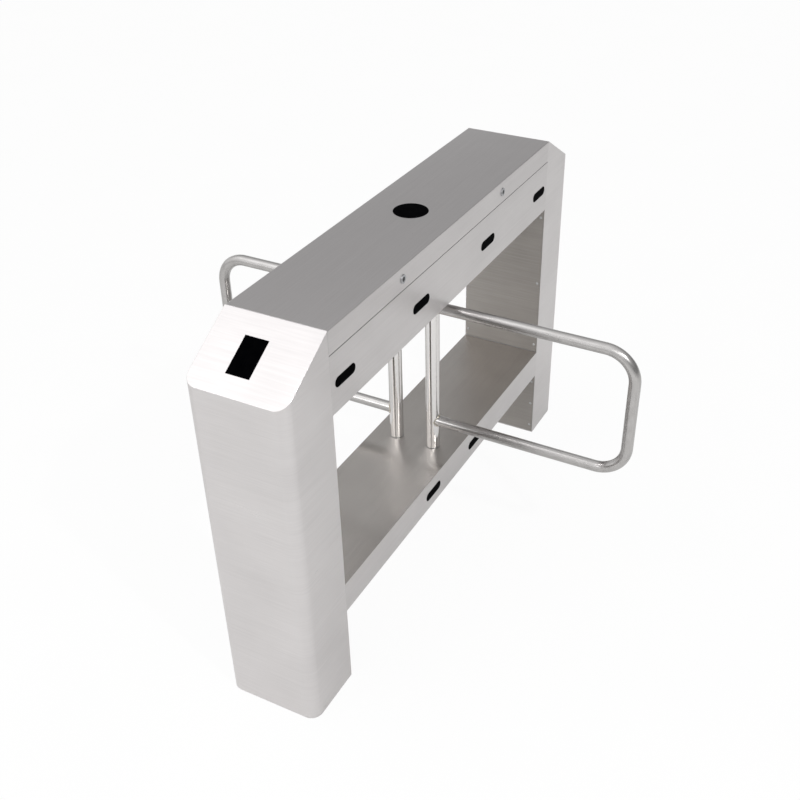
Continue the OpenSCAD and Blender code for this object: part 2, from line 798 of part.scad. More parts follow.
// Row of clamp terminals and a breaker on a mounting rail across the beam
module terminal_strip() {
    pitch = 9;
    rail = [35, strip_l, 7];
    clamp = [32, pitch - 0.6, 30];
    breaker = [36, 34, 34];
    toggle = [10, 22, 8];
    hole_r = 2;
    hole_depth = 4;
    count = floor((strip_l - breaker.y - pitch) / pitch);
    color([0.78, 0.78, 0.75]) translate([strip_x, strip_y0, floor_z]) {
        translate([-rail.x / 2, 0, 0]) cube(rail);
        for (i = [0:count - 1]) translate([-clamp.x / 2, (i + 0.3) * pitch, rail.z]) difference() {
            cube(clamp);
            for (u = [1, 5]) translate([u * clamp.x / 6, clamp.y / 2, clamp.z - hole_depth])
                cylinder(r = hole_r, h = hole_depth + cut);
        }
        translate([-breaker.x / 2, strip_l - breaker.y - 4, rail.z]) cube(breaker);
        translate([-toggle.x / 2, strip_l - 4 - (breaker.y + toggle.y) / 2, rail.z + breaker.z]) cube(toggle);
    }
}

// Slotted wiring duct along the beam, one length on each side of the drive
module cable_duct() {
    wall = 1.6;
    tooth = 8;
    slot = 6;
    length = duct_x1 - duct_x0;
    foot = 12;
    lid = 4;
    count = floor((length - tooth) / (tooth + slot));
    color([0.55, 0.57, 0.60]) for (back = [0, 1]) mirror([back, 0, 0])
        translate([duct_x0, duct_y - duct_w / 2, floor_z]) difference() {
            cube([length, duct_w, duct_h]);
            translate([-cut, wall, wall]) cube([length + 2 * cut, duct_w - 2 * wall, duct_h - 2 * wall]);
            for (i = [0:count - 1]) translate([tooth + i * (tooth + slot), -cut, foot])
                cube([slot, duct_w + 2 * cut, duct_h - foot - lid]);
        }
}

// Cable that leaves one duct, passes behind the drive plates and enters the other
module link_cable() {
    x = link_x - link_bend;
    y = link_y - link_bend;
    y0 = duct_y + duct_w / 2 + run_gap;
    color(black) translate([0, 0, link_z]) {
        translate([-x, link_y, 0]) rotate([0, 90, 0]) cylinder(r = link_r, h = 2 * x);
        for (s = [0, 1]) mirror([s, 0, 0]) {
            translate([link_x, y0, 0]) rotate([-90, 0, 0]) cylinder(r = link_r, h = y - y0);
            translate([x, y, 0]) rotate_extrude(angle = 90) translate([link_bend, 0]) circle(r = link_r);
        }
    }
}

// Fixed leaf of the lid hinge below the seam, with every other knuckle and the pin
module body_hinge_leaf() {
    color(zinc) hinge_leaf(-1, 0, true);
}

module lid_hinge_leaf() {
    color(zinc) hinge_leaf(1, 1, false);
}

// Axis cylinder of the hinge from x0, of length l
module hinge_round(x0, r, l) {
    translate([x0, hinge_y, hinge_z]) rotate([0, 90, 0]) cylinder(r = r, h = l);
}

// Leaf on the outside of the back wall: side is -1 below the seam and 1 above it
module hinge_leaf(side, phase, with_pin) {
    z0 = side < 0 ? hinge_z - leaf_h : hinge_z + knuckle_gap;
    step = knuckle_l + knuckle_gap;
    difference() {
        union() {
            translate([-hinge_half_l, half_w, z0]) cube([2 * hinge_half_l, leaf_t, leaf_h - knuckle_gap]);
            for (i = [phase:2:knuckle_count - 1]) hinge_round(knuckle_start + i * step, knuckle_r, knuckle_l);
        }
        for (i = [1 - phase:2:knuckle_count - 1])
            hinge_round(knuckle_start + i * step - knuckle_gap, knuckle_r + knuckle_gap,
                        knuckle_l + 2 * knuckle_gap);
        if (!with_pin) hinge_round(-hinge_half_l - cut, pin_d / 2 + run_fit, 2 * (hinge_half_l + cut));
    }
    if (with_pin) hinge_round(knuckle_start, pin_d / 2, -2 * knuckle_start);
}

// Hooks on the trough's rim that the lock cams turn under
module lock_keepers() {
    hook_z = lock_z + cam_w / 2 + 1;
    color(zinc) for (x = [-lock_x, lock_x]) translate([x + lock_body_r + 4, 0, 0]) {
        translate([0, cam_y - 12, rim_z]) cube([20, 18, 1.5]);
        translate([0, cam_y + 4, rim_z]) cube([20, 2, hook_z - rim_z]);
        translate([0, cam_y - 4, hook_z]) cube([20, 10, 2]);
    }
}

// Involute gear as one polygon; with a tooth, or a gap, centred on the +X direction
module gear_outline(teeth, tooth_at_zero) {
    rp = gear_m * teeth / 2;
    rb = rp * cos(20);
    ra = rp + gear_m;
    rr = rp - 1.25 * gear_m;
    r0 = max(rb, rr);
    half_a = 90 / teeth - backlash / 4 / rp * 180 / PI + involute_angle(rb, rp);
    rs = [for (i = [0:4]) r0 + (ra - r0) * i / 4];
    flank = [for (r = rs) [r, half_a - involute_angle(rb, r)]];
    root_a = flank[0][1];
    polygon([for (k = [0:teeth - 1]) let (mid = (k + (tooth_at_zero ? 0 : 0.5)) * 360 / teeth) each concat(
        rr < rb ? [polar(rr, mid - root_a)] : [],
        [for (f = flank) polar(f[0], mid - f[1])],
        [for (i = [4:-1:0]) polar(flank[i][0], mid + flank[i][1])],
        rr < rb ? [polar(rr, mid + root_a)] : [])]);
}

// Post tube with the holes for the two ends of its arm left closed
module post() {
    color(steel) translate([0, -post_y, post_z0]) difference() {
        cylinder(d = post_d, h = post_z1 - post_z0);
        translate([0, 0, -cut]) cylinder(r = post_d / 2 - tube_t, h = post_z1 - post_z0 + 2 * cut);
    }
}

module front_post() { turned(false) post(); }
module back_post() { turned(true) post(); }

// Solid run of the bent arm at radius r, from the post's axis out and back
module arm_run(r) {
    straight_y = arm_reach - bend_r;
    for (z = [arm_low_z, arm_top_z])
        translate([0, -post_y, z]) rotate([90, 0, 0]) cylinder(r = r, h = straight_y - post_y);
    translate([0, -arm_reach, arm_low_z + bend_r]) cylinder(r = r, h = arm_top_z - arm_low_z - 2 * bend_r);
    for (top = [false, true])
        translate([0, -straight_y, top ? arm_top_z - bend_r : arm_low_z + bend_r])
            mirror([0, 0, top ? 0 : 1]) rotate([90, 0, -90])
                rotate_extrude(angle = 90) translate([bend_r, 0]) circle(r = r);
}

// Bent tube of the arm, coped to the post at both ends
module arm_tube() {
    color(steel) difference() {
        arm_run(tube_d / 2);
        arm_run(tube_d / 2 - tube_t);
        translate([0, -post_y, arm_low_z - tube_d])
            cylinder(d = post_d, h = arm_top_z - arm_low_z + 2 * tube_d);
    }
}

module front_arm_tube() { turned(false) arm_tube(); }
module back_arm_tube() { turned(true) arm_tube(); }

// Shaft in the top of the post, through both drive plates
module top_shaft() {
    color(zinc) translate([0, -post_y, 0]) {
        translate([0, 0, post_z1 - plug_l]) cylinder(r = post_d / 2 - tube_t, h = plug_l);
        translate([0, 0, post_z1]) cylinder(d = post_d, h = collar_t);
        translate([0, 0, post_z1]) cylinder(d = top_shaft_d, h = shaft_end_z - post_z1);
    }
}

module front_top_shaft() { turned(false) top_shaft(); }
module back_top_shaft() { turned(true) top_shaft(); }

// Shaft in the foot of the post, down into the bearing under the shelf
module foot_shaft() {
    color(zinc) translate([0, -post_y, 0]) {
        translate([0, 0, post_z0]) cylinder(r = post_d / 2 - tube_t, h = plug_l);
        translate([0, 0, post_z0 - collar_t]) cylinder(d = post_d, h = collar_t);
        translate([0, 0, foot_shaft_end_z]) cylinder(d = foot_shaft_d, h = post_z0 - foot_shaft_end_z);
    }
}

module front_foot_shaft() { turned(false) foot_shaft(); }
module back_foot_shaft() { turned(true) foot_shaft(); }

// Gear on the post's shaft, lightened by six holes
module drive_gear() {
    color([0.60, 0.60, 0.58]) translate([0, -post_y, gear_z]) linear_extrude(height = gear_w) difference() {
        rotate(180) gear_outline(gear_teeth, true);
        circle(d = top_shaft_d);
        for (i = [0:5]) rotate(30 + i * 60) translate([(gear_r + top_shaft_d / 2) / 2, 0]) circle(r = 8);
    }
}

module front_drive_gear() { turned(false) drive_gear(); }
module back_drive_gear() { turned(true) drive_gear(); }

// Lever clamped on the shaft, which meets a buffer at each end of the swing
module stop_lever() {
    color(dark_steel) translate([0, -post_y, lever_z]) linear_extrude(height = lever_t) difference() {
        union() {
            circle(r = top_shaft_d / 2 + 6);
            translate([-lever_w / 2, -lever_r]) square([lever_w, lever_r]);
        }
        circle(d = top_shaft_d);
    }
}

module front_stop_lever() { turned(false) stop_lever(); }
module back_stop_lever() { turned(true) stop_lever(); }

// Motor pinion with its shaft, which runs up into the gearbox
module pinion() {
    shaft_top = motor_base_z + 22;
    color([0.60, 0.60, 0.58]) translate([-pinion_x, -post_y, 0]) {
        translate([0, 0, pinion_z]) linear_extrude(height = pinion_w) gear_outline(pinion_teeth, false);
        translate([0, 0, pinion_z]) cylinder(d = motor_shaft_d, h = shaft_top - pinion_z);
    }
}

module front_pinion() { turned(false) pinion(); }
module back_pinion() { turned(true) pinion(); }

module lock_hole(r) {
    for (x = [-lock_x, lock_x]) translate([x, -half_w - cut, lock_z])
        rotate([-90, 0, 0]) cylinder(r = r, h = sheet_t + 2 * cut);
}

// Folded cover with skirts on all four sides
module lid_cover() {
    color(steel) difference() {
        along_x(-lid_half_l, lid_half_l) folded_section(half_w, lid_z, body_h, fold_r, false, true);
        along_x(-lid_half_l + sheet_t, lid_half_l - sheet_t)
            folded_section(inner_w, lid_z - cut, body_h - sheet_t, fold_r - sheet_t, false, true);
        translate([0, 0, body_h - sheet_t - cut]) cylinder(d = indicator_d, h = sheet_t + 2 * cut);
        lock_hole(lock_body_r + screw_gap);
    }
}

// Round window flush in the top, with its flange under the sheet
module indicator_window() {
    color(black) {
        translate([0, 0, body_h - sheet_t])
            cylinder(r = indicator_r - window_gap, h = sheet_t + window_proud);
        translate([0, 0, body_h - sheet_t - indicator_flange_t])
            cylinder(r = indicator_r + cup_wall, h = indicator_flange_t);
    }
}

// Cup under the round window that holds the light board
module indicator_cup() {
    color([0.20, 0.20, 0.21]) translate([0, 0, cup_z]) difference() {
        cylinder(r = indicator_r + cup_wall, h = cup_h);
        translate([0, 0, cup_floor]) cylinder(r = indicator_r, h = cup_h);
    }
}

// Light board on the cup's floor, with a ring of diodes
module indicator_board() {
    color(board_green) translate([0, 0, cup_z + cup_floor]) {
        cylinder(r = indicator_r - 2, h = board_t);
        for (i = [0:11]) rotate(i * 30) translate([indicator_r - 14, 0, board_t]) cylinder(r = 2.5, h = 3);
    }
}

// Barrels of the two locks, set in the lid's front skirt
module lock_barrels() {
    length = lock_face_t + sheet_t + lock_body_l;
    color(zinc) for (x = [-lock_x, lock_x])
        translate([x, -half_w - lock_face_t, lock_z]) rotate([-90, 0, 0]) difference() {
            union() {
                cylinder(d = lock_d, h = lock_face_t);
                cylinder(r = lock_body_r, h = length);
            }
            translate([0, 0, -cut]) cylinder(r = plug_d / 2 + run_fit, h = length + 2 * cut);
        }
}

// Turning plug with its key slot, and the cam on its inner end, which hangs down while unlocked
module lock_plug(x) {
    face_y = -half_w - lock_face_t;
    color(zinc) translate([x, 0, lock_z]) {
        rotate([-90, 0, 0]) difference() {
            translate([0, 0, face_y]) cylinder(d = plug_d, h = cam_y + cam_t - face_y);
            translate([-1, -plug_d / 4, face_y - cut]) cube([2, plug_d / 2, 4 + cut]);
        }
        translate([-cam_w / 2, cam_y, -cam_r]) cube([cam_w, cam_t, cam_r]);
    }
}

module left_lock() { lock_plug(-lock_x); }
module right_lock() { lock_plug(lock_x); }

near_leg_casing();
far_leg_casing();
near_base_plate();
far_base_plate();
near_access_panels();
far_access_panels();
panel_screws();
joint_brackets();
bracket_bolts();
beam_trough();
lid_gasket();
lower_rail();
shelf_plate();
front_sensor_windows();
back_sensor_windows();
sensor_boards();
near_reader_window();
far_reader_window();
near_card_reader();
far_card_reader();
drive_base_plate();
drive_top_plate();
plate_standoffs();
stop_buffers();
front_gearbox();
back_gearbox();
front_motor();
back_motor();
front_bearings();
back_bearings();
foot_bearing_plate();
control_board();
power_supply();
terminal_strip();
cable_duct();
link_cable();
body_hinge_leaf();
lock_keepers();
front_post();
front_arm_tube();
front_top_shaft();
front_foot_shaft();
front_drive_gear();
front_stop_lever();
back_post();
back_arm_tube();
back_top_shaft();
back_foot_shaft();
back_drive_gear();
back_stop_lever();
front_pinion();
back_pinion();
lid_cover();
lid_hinge_leaf();
indicator_window();
indicator_cup();
indicator_board();
lock_barrels();
left_lock();
right_lock();
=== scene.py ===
"""Scene for a bridge-type pedestrian swing barrier in brushed stainless steel."""

import json
import math

import bmesh
import bpy
from mathutils import Matrix, Vector


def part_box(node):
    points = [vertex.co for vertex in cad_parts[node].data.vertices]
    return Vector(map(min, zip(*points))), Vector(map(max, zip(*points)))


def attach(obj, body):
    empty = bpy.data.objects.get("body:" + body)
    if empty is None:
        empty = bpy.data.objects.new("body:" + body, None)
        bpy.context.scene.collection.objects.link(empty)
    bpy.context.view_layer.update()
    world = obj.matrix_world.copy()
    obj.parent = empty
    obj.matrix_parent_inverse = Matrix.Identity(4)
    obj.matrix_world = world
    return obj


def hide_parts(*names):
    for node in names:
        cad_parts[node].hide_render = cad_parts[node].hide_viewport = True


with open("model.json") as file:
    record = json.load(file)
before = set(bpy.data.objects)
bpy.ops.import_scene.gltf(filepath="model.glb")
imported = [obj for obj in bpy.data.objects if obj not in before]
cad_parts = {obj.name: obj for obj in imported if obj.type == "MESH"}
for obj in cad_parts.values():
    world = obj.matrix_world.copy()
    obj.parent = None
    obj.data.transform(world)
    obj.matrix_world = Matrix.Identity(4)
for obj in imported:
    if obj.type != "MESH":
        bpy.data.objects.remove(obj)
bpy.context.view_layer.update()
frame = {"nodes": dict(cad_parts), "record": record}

scene = bpy.context.scene
scene.view_settings.view_transform = "Standard"

MM = 0.001
body_of_node = {
    node: body for body, nodes in frame["record"]["behaviour"]["bodies"].items() for node in nodes
}
slot_of_node = {part["node"]: part["material_slot"] for part in frame["record"]["subparts"]}


# Camera at the photograph's viewing angle, from points of the housing read off the photograph
def place_camera():
    """Looks at target from a distance, with an axis that meets the picture at axis_px."""
    photo_px, focal_px = 800, 1059.68
    axis_px = (428.34, 416.93)
    sensor = 36.0
    target, distance = Vector((-0.12595, -0.10896, 0.5)), 2.73479
    azimuth, elevation, roll = (math.radians(turn) for turn in (-62.44, 34.81, -0.52))
    back = Vector((
        math.sin(azimuth) * math.cos(elevation),
        -math.cos(azimuth) * math.cos(elevation),
        math.sin(elevation),
    ))
    level_right = (-back).cross(Vector((0, 0, 1))).normalized()
    level_up = level_right.cross(-back)
    right = math.cos(roll) * level_right + math.sin(roll) * level_up
    up = math.cos(roll) * level_up - math.sin(roll) * level_right
    turn = Matrix((right, up, back)).transposed().to_4x4()
    camera = bpy.data.objects.new("photo_camera", bpy.data.cameras.new("photo_camera"))
    camera.matrix_world = Matrix.Translation(target + distance * back) @ turn
    camera.data.sensor_fit = "HORIZONTAL"
    camera.data.sensor_width = sensor
    camera.data.lens = sensor * focal_px / photo_px
    camera.data.shift_x = (photo_px / 2 - axis_px[0]) / photo_px
    camera.data.shift_y = (axis_px[1] - photo_px / 2) / photo_px
    camera.data.clip_end = 100.0
    scene.collection.objects.link(camera)
    scene.camera = camera


place_camera()


# Nodes and colours
def colour(code):
    """Linear colour of an sRGB hex value."""
    parts = [int(code[i:i + 2], 16) / 255 for i in (1, 3, 5)]
    return [p / 12.92 if p <= 0.04045 else ((p + 0.055) / 1.055) ** 2.4 for p in parts] + [1.0]


def add(tree, kind, inputs=None, **settings):
    """Adds a node with its settings; each input gets a value, or a link from another node's output."""
    node = tree.nodes.new(kind)
    for name, value in settings.items():
        setattr(node, name, value)
    for name, value in (inputs or {}).items():
        if isinstance(value, bpy.types.NodeSocket):
            tree.links.new(value, node.inputs[name])
        else:
            node.inputs[name].default_value = value
    return node


def streaks(size, detail=2.0, low=0.32, high=0.68):
    """Pattern of noise from 0 to 1 whose marks are size millimetres long along X, Y and Z."""
    scale = [1 / (MM * length) for length in size]

    def pattern(tree):
        place = add(tree, "ShaderNodeTexCoord").outputs["Object"]
        stretched = add(tree, "ShaderNodeMapping", {"Vector": place, "Scale": scale}).outputs[0]
        marks = add(tree, "ShaderNodeTexNoise", {"Vector": stretched, "Scale": 1.0, "Detail": detail})
        spread = {"Value": marks.outputs[0], "From Min": low, "From Max": high}
        return add(tree, "ShaderNodeMapRange", spread).outputs[0]

    return pattern


def surface(name, pattern, light, dark, smooth, rough, relief=0.0, tangent=None, **sockets):
    """Material whose pattern moves its colour, its roughness and its relief in millimetres together."""
    material = bpy.data.materials.new(name)
    material.use_nodes = True
    tree = material.node_tree
    tree.nodes.clear()
    marks = pattern(tree)
    colours = {0: marks, 6: colour(dark), 7: colour(light)}
    tint = add(tree, "ShaderNodeMix", colours, data_type="RGBA")
    gloss = add(tree, "ShaderNodeMapRange", {"Value": marks, "To Min": rough, "To Max": smooth})
    inputs = {"Base Color": tint.outputs[2], "Roughness": gloss.outputs[0]}
    if relief:
        height = {"Height": marks, "Distance": relief * MM, "Strength": 1.0}
        inputs["Normal"] = add(tree, "ShaderNodeBump", height).outputs[0]
    if tangent:
        grain = add(tree, "ShaderNodeTangent", direction_type="RADIAL", axis=tangent)
        inputs["Tangent"] = grain.outputs[0]
    inputs.update({socket.replace("_", " "): value for socket, value in sockets.items()})
    shader = add(tree, "ShaderNodeBsdfPrincipled", inputs)
    add(tree, "ShaderNodeOutputMaterial", {"Surface": shader.outputs[0]})
    return material


# Brushed stainless sheet: a 240 grit belt leaves scratches 0.1 mm wide, drawn 1.6 mm wide to show
def belt_grain(length, width, turned):
    """Pattern of belt scratches along X, or level round a leg where turned, over the rolling's slow
    changes across a hand's width."""
    fine = (length, length, width) if turned else (length, width, width)
    broad = [4 * size for size in fine]
    rolling = (170, 150, 130)

    def pattern(tree):
        marks = streaks(fine)(tree)
        for size, share in ((broad, 0.35), (rolling, 0.4)):
            layers = {0: share, 2: marks, 3: streaks(size)(tree)}
            marks = add(tree, "ShaderNodeMix", layers, data_type="FLOAT").outputs[0]
        return marks

    return pattern


sheet_steel = surface(
    "brushed_stainless_sheet", belt_grain(130, 1.6, False), "#D2CFCF", "#C8C5C5", 0.27, 0.35,
    relief=0.006, tangent="X", Metallic=1.0, Anisotropic=0.45,
)
casing_steel = surface(
    "brushed_stainless_casing", belt_grain(110, 1.6, True), "#D7D4D4", "#CDCACA", 0.27, 0.35,
    relief=0.006, tangent="Z", Metallic=1.0, Anisotropic=0.45, Anisotropic_Rotation=0.25,
)
# The shelf is brushed lengthwise, and its belt marks stretch the lamp's mirror image into streaks
shelf_steel = surface(
    "brushed_stainless_shelf", belt_grain(130, 1.6, False), "#CBC7C3", "#BFBBB7", 0.22, 0.26,
    tangent="X", Metallic=1.0, Anisotropic=1.0,
)
# Painted shade: the panels inside the opening are coloured darker than the casing to stand in for the shade
# under the beam, and are too dull to mirror anything
panel_steel_painted_shade = surface(
    "brushed_stainless_panel", belt_grain(110, 1.6, True), "#ACA8A4", "#A09C98", 0.58, 0.66,
    relief=0.006, tangent="Z", Metallic=1.0, Anisotropic=0.3, Anisotropic_Rotation=0.25,
)
# Polished tube: buffed to a soft mirror, with faint rings of the belt
tube_steel = surface(
    "polished_stainless_tube", streaks((60, 4, 4), 3.0), "#E4E2E1", "#DCDAD9", 0.12, 0.17,
    relief=0.001, Metallic=1.0,
)
# Satin tube: ground lengthwise with a fine belt, so that its highlights spread wide
arm_steel = surface(
    "satin_stainless_tube", streaks((4, 30, 30), 3.0), "#BEBCBB", "#B3B1B0", 0.22, 0.28,
    relief=0.002, Metallic=1.0,
)
# Weld bead: bright, rippled, with a light straw tint from the heat
weld_steel = surface(
    "brushed_weld_bead", streaks((5, 5, 5)), "#CFCCC4", "#B9AE9A", 0.22, 0.4,
    relief=0.02, Metallic=1.0,
)
# Bright zinc on pressed steel: bluish white, with a soft mottling
zinc_steel = surface(
    "zinc_plated_steel", streaks((18, 18, 18), 4.0), "#C6CBD0", "#AAB0B6", 0.28, 0.42,
    relief=0.004, Metallic=1.0,
)
# The same zinc on small heads: brighter, with a mottling 2 mm across
screw_steel = surface(
    "zinc_plated_screw", streaks((2, 2, 2)), "#CBCCCD", "#B2B4B6", 0.22, 0.36,
    relief=0.003, Metallic=1.0,
)
# Hinge strip, brushed along its length: finer lines than on the sheets
hinge_steel = surface(
    "brushed_hinge_steel", belt_grain(60, 1.2, False), "#CFCDCC", "#BFBDBC", 0.26, 0.36,
    relief=0.004, Metallic=1.0,
)
# Turned steel: fine tool rings round the axis
shaft_steel = surface(
    "turned_shaft_steel", streaks((40, 40, 0.7)), "#B9B9B8", "#9E9E9D", 0.2, 0.34,
    relief=0.008, Metallic=1.0,
)
# Hobbed gear steel under a film of oil: darker, with level cutter marks and a wet shine
gear_steel = surface(
    "hobbed_gear_steel", streaks((6, 6, 0.8), 3.0), "#B4B2AC", "#97948C", 0.24, 0.42,
    relief=0.01, Metallic=1.0, Coat_Weight=0.3,
)
# Sand-cast bearing housing under grey primer: sand grains 0.8 mm wide, drawn 1.4 mm wide to show
cast_iron = surface(
    "sand_cast_iron", streaks((1.4, 1.4, 1.4), 4.0), "#8E9092", "#6B6D6F", 0.5, 0.72,
    relief=0.12, Metallic=0.55,
)
# Machined aluminium: cooler and paler than steel, with level tool lines
gearbox_metal = surface(
    "machined_gearbox_aluminium", streaks((30, 30, 0.8)), "#B5B7BA", "#9A9DA1",
    0.28, 0.4, relief=0.01, Metallic=1.0,
)
# Powder coat: orange peel 2 mm across
motor_paint = surface(
    "black_powder_coat", streaks((2.2, 2.2, 2.2)), "#1E1F21", "#161719", 0.38, 0.5,
    relief=0.03,
)
# Smoked acrylic: black, with a fine anti-glare satin that keeps reflections dim
black_acrylic = surface(
    "smoked_black_acrylic", streaks((25, 25, 25)), "#030304", "#010102", 0.3, 0.38,
    Specular_IOR_Level=0.005, IOR=1.3,
)
# Extruded rubber: matt, with a dusty bloom
rubber = surface(
    "extruded_epdm_rubber", streaks((1.5, 1.5, 1.5), 4.0), "#26272A", "#17181A", 0.7, 0.9,
    relief=0.05,
)
# Moulded dark ABS: charcoal, with a spark texture that dulls its shine
dark_abs = surface(
    "moulded_dark_abs", streaks((0.9, 0.9, 0.9)), "#2E2F32", "#232427", 0.45, 0.6,
    relief=0.03,
)
# Circuit board under green lacquer: the tracks show through as paler lines 2 mm apart
board_lacquer = surface(
    "lacquered_circuit_board", streaks((9, 2, 9), 1.0, 0.46, 0.54), "#1F6B45", "#15502F",
    0.25, 0.35, relief=0.03,
)
# Folded aluminium sheet of the power supply: pale, with a short grain
supply_sheet = surface(
    "folded_aluminium_sheet", belt_grain(50, 1.2, False), "#BFC1C3", "#AEB0B3", 0.32, 0.44,
    relief=0.004, Metallic=1.0,
)


def moulded(name, light, dark, smooth=0.38, rough=0.52):
    """Moulded plastic, with the fine spark texture of its mould drawn 1.2 mm wide."""
    return surface(name, streaks((1.2, 1.2, 1.2)), light, dark, smooth, rough, relief=0.02)


# Plastics inside the beam: plain colours, satin, glossier on the relays and duller on the chips
clamp_grey = moulded("moulded_grey_polyamide", "#C5C4BC", "#B6B5AC")
clamp_blue = moulded("moulded_blue_polyamide", "#4A7DB8", "#3F70A9")
clamp_green = moulded("moulded_green_polyamide", "#5E9E4A", "#528F40")
relay_blue = moulded("moulded_blue_polyester", "#2E62A6", "#275797", 0.28, 0.4)
switch_grey = moulded("moulded_grey_thermoset", "#D2D1CB", "#C6C5BE", 0.42, 0.56)
plug_nylon = moulded("moulded_natural_nylon", "#E4E1D6", "#D7D3C6")
chip_epoxy = moulded("moulded_black_epoxy", "#1E1E20", "#151517", 0.5, 0.66)
# Sleeve of a capacitor: thin shrunk film, smoother than the moulded parts
sleeve_film = moulded("shrunk_dark_sleeve", "#20283A", "#182030", 0.22, 0.34)
# Diode lens: cast epoxy, milky and glossy
diode_epoxy = surface(
    "cast_clear_epoxy", streaks((2, 2, 2)), "#EDF0EE", "#DFE3E0", 0.12, 0.2,
    Coat_Weight=0.4,
)
# Hexagon bar of brass, cut off on a lathe: fine rings
turned_brass = surface(
    "turned_brass", streaks((30, 30, 0.6)), "#CDAF62", "#B89748", 0.22, 0.36,
    relief=0.004, Metallic=1.0,
)
# Tinned copper legs: soft grey metal with a fine mottling
tinned_copper = surface(
    "tinned_copper", streaks((1, 1, 1)), "#CDCDCB", "#B4B4B1", 0.24, 0.38,
    Metallic=1.0,
)
# Extruded aluminium, anodised black: satin, with drawing lines along it
black_anodised = surface(
    "black_anodised_aluminium", streaks((40, 0.8, 0.8)), "#38393C", "#2A2B2D",
    0.34, 0.46, relief=0.004, Metallic=0.7,
)
# Extruded PVC of the wiring ducts: mid grey, satin, with faint lines of the die
duct_plastic = surface(
    "extruded_grey_pvc", streaks((60, 1.5, 1.5)), "#8F949A", "#82878D", 0.35, 0.5,
    relief=0.01,
)
# Cable jacket: soft black PVC with a dull shine
cable_pvc = surface(
    "black_pvc_jacket", streaks((8, 8, 8), 3.0), "#1B1B1C", "#121213", 0.35, 0.55,
    relief=0.02,
)
# Satin chrome on the lock barrels: bright, slightly blue
lock_chrome = surface(
    "satin_chrome", streaks((3, 3, 3)), "#B4B5B7", "#A2A3A6", 0.2, 0.3,
    Metallic=1.0,
)
# Black nickel on the plugs and cams of the locks: dark and glossy
lock_nickel = surface(
    "black_nickel", streaks((3, 3, 3)), "#4A4A4D", "#38383B", 0.2, 0.3,
    Metallic=1.0,
)


# Meshes
CLOSE = 0.01 * MM  # distance within which points are one


def evaluated(obj):
    """Plain mesh of an object with its modifiers, after which the object goes."""
    bpy.context.view_layer.update()
    view = bpy.context.evaluated_depsgraph_get()
    mesh = bpy.data.meshes.new_from_object(
        obj.evaluated_get(view), preserve_all_data_layers=True, depsgraph=view)
    bpy.data.objects.remove(obj)
    return mesh


def held(mesh, name="work"):
    """Mesh in a working object, so that modifiers can act on it."""
    obj = bpy.data.objects.new(name, mesh)
    scene.collection.objects.link(obj)
    return obj


def eased(mesh, width):
    """Mesh whose edges that turn by over 25 degrees are rounded by a width in millimetres."""
    for polygon in mesh.polygons:
        polygon.use_smooth = True
    mesh.update()
    obj = held(mesh)
    bevel = obj.modifiers.new("edges", "BEVEL")
    bevel.width = width * MM
    bevel.segments = 2
    bevel.limit_method = "ANGLE"
    bevel.angle_limit = math.radians(25)
    bevel.harden_normals = True
    bevel.use_clamp_overlap = False
    return evaluated(obj)


def merged_copy(node):
    """Copy of a CAD node with its loose triangles joined into whole faces."""
    mesh = frame["nodes"][node].data.copy()
    flat = math.radians(0.4)
    form = bmesh.new()
    form.from_mesh(mesh)
    bmesh.ops.remove_doubles(form, verts=form.verts, dist=CLOSE)
    bmesh.ops.dissolve_limit(form, angle_limit=flat, verts=form.verts, edges=form.edges)
    form.to_mesh(mesh)
    form.free()
    mesh.materials.clear()
    for name in [a.name for a in mesh.attributes if a.name.startswith("custom_normal")]:
        mesh.attributes.remove(mesh.attributes[name])
    return mesh


def piece(name, mesh, material, body, slot, *nodes):
    """Makes a finished piece of the barrier, in place of the CAD nodes that it covers."""
    mesh.name = name
    if material:
        mesh.materials.clear()
        mesh.materials.append(material)
    obj = held(mesh, name)
    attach(obj, body)
    if nodes:
        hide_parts(*nodes)


def from_node(node, width, material):
    """Makes a piece with the shape of a CAD node and edges eased by a width in millimetres."""
    mesh = eased(merged_copy(node), width)
    piece(node + "_piece", mesh, material, body_of_node[node], slot_of_node[node], node)


def half_turn(mesh):
    """Copy of a mesh turned half round the middle, as the back arm is from the front one."""
    copy = mesh.copy()
    copy.transform(Matrix.Rotation(math.pi, 4, "Z"))
    return copy


def walls(form, rings):
    """Adds the faces between rings of points, where a ring on an axis is a single point."""
    for ring, following in zip(rings, rings[1:]):
        for k in range(max(len(ring), len(following))):
            corners = (
                ring[k % len(ring)], ring[(k + 1) % len(ring)],
                following[(k + 1) % len(following)], following[k % len(following)],
            )
            form.faces.new(list(dict.fromkeys(corners)))


def turned_solid(form, outline, place, sides=28, bored=False):
    """Adds a solid of revolution at a place, from radii and heights that start and end on its axis.

    A bored one has an outline that closes on itself away from the axis.
    """
    rings = []
    for radius, z in outline:
        turns = [2 * math.pi * k / sides for k in range(sides if radius else 1)]
        rings.append([
            form.verts.new((place[0] + radius * math.cos(a), place[1] + radius * math.sin(a), place[2] + z))
            for a in turns
        ])
    walls(form, rings + rings[:1] if bored else rings)


def swept(path, radius, sides):
    """Edit form with a tube skin along a path of points, with open ends, and its rings of points."""
    turns = [2 * math.pi * k / sides for k in range(sides)]
    form = bmesh.new()
    rings = []
    normal = Vector((1, 0, 0))
    for i, point in enumerate(path):
        ahead = (path[min(i + 1, len(path) - 1)] - path[max(i - 1, 0)]).normalized()
        normal = (normal - normal.dot(ahead) * ahead).normalized()
        side = ahead.cross(normal)
        rings.append([
            form.verts.new(point + radius * (math.cos(a) * normal + math.sin(a) * side)) for a in turns
        ])
    walls(form, rings)
    return form, rings


def to_mesh(form):
    """Smooth mesh of an edit form with its faces turned outwards."""
    bmesh.ops.recalc_face_normals(form, faces=form.faces)
    for face in form.faces:
        face.smooth = True
    mesh = bpy.data.meshes.new("form")
    form.to_mesh(mesh)
    form.free()
    return mesh


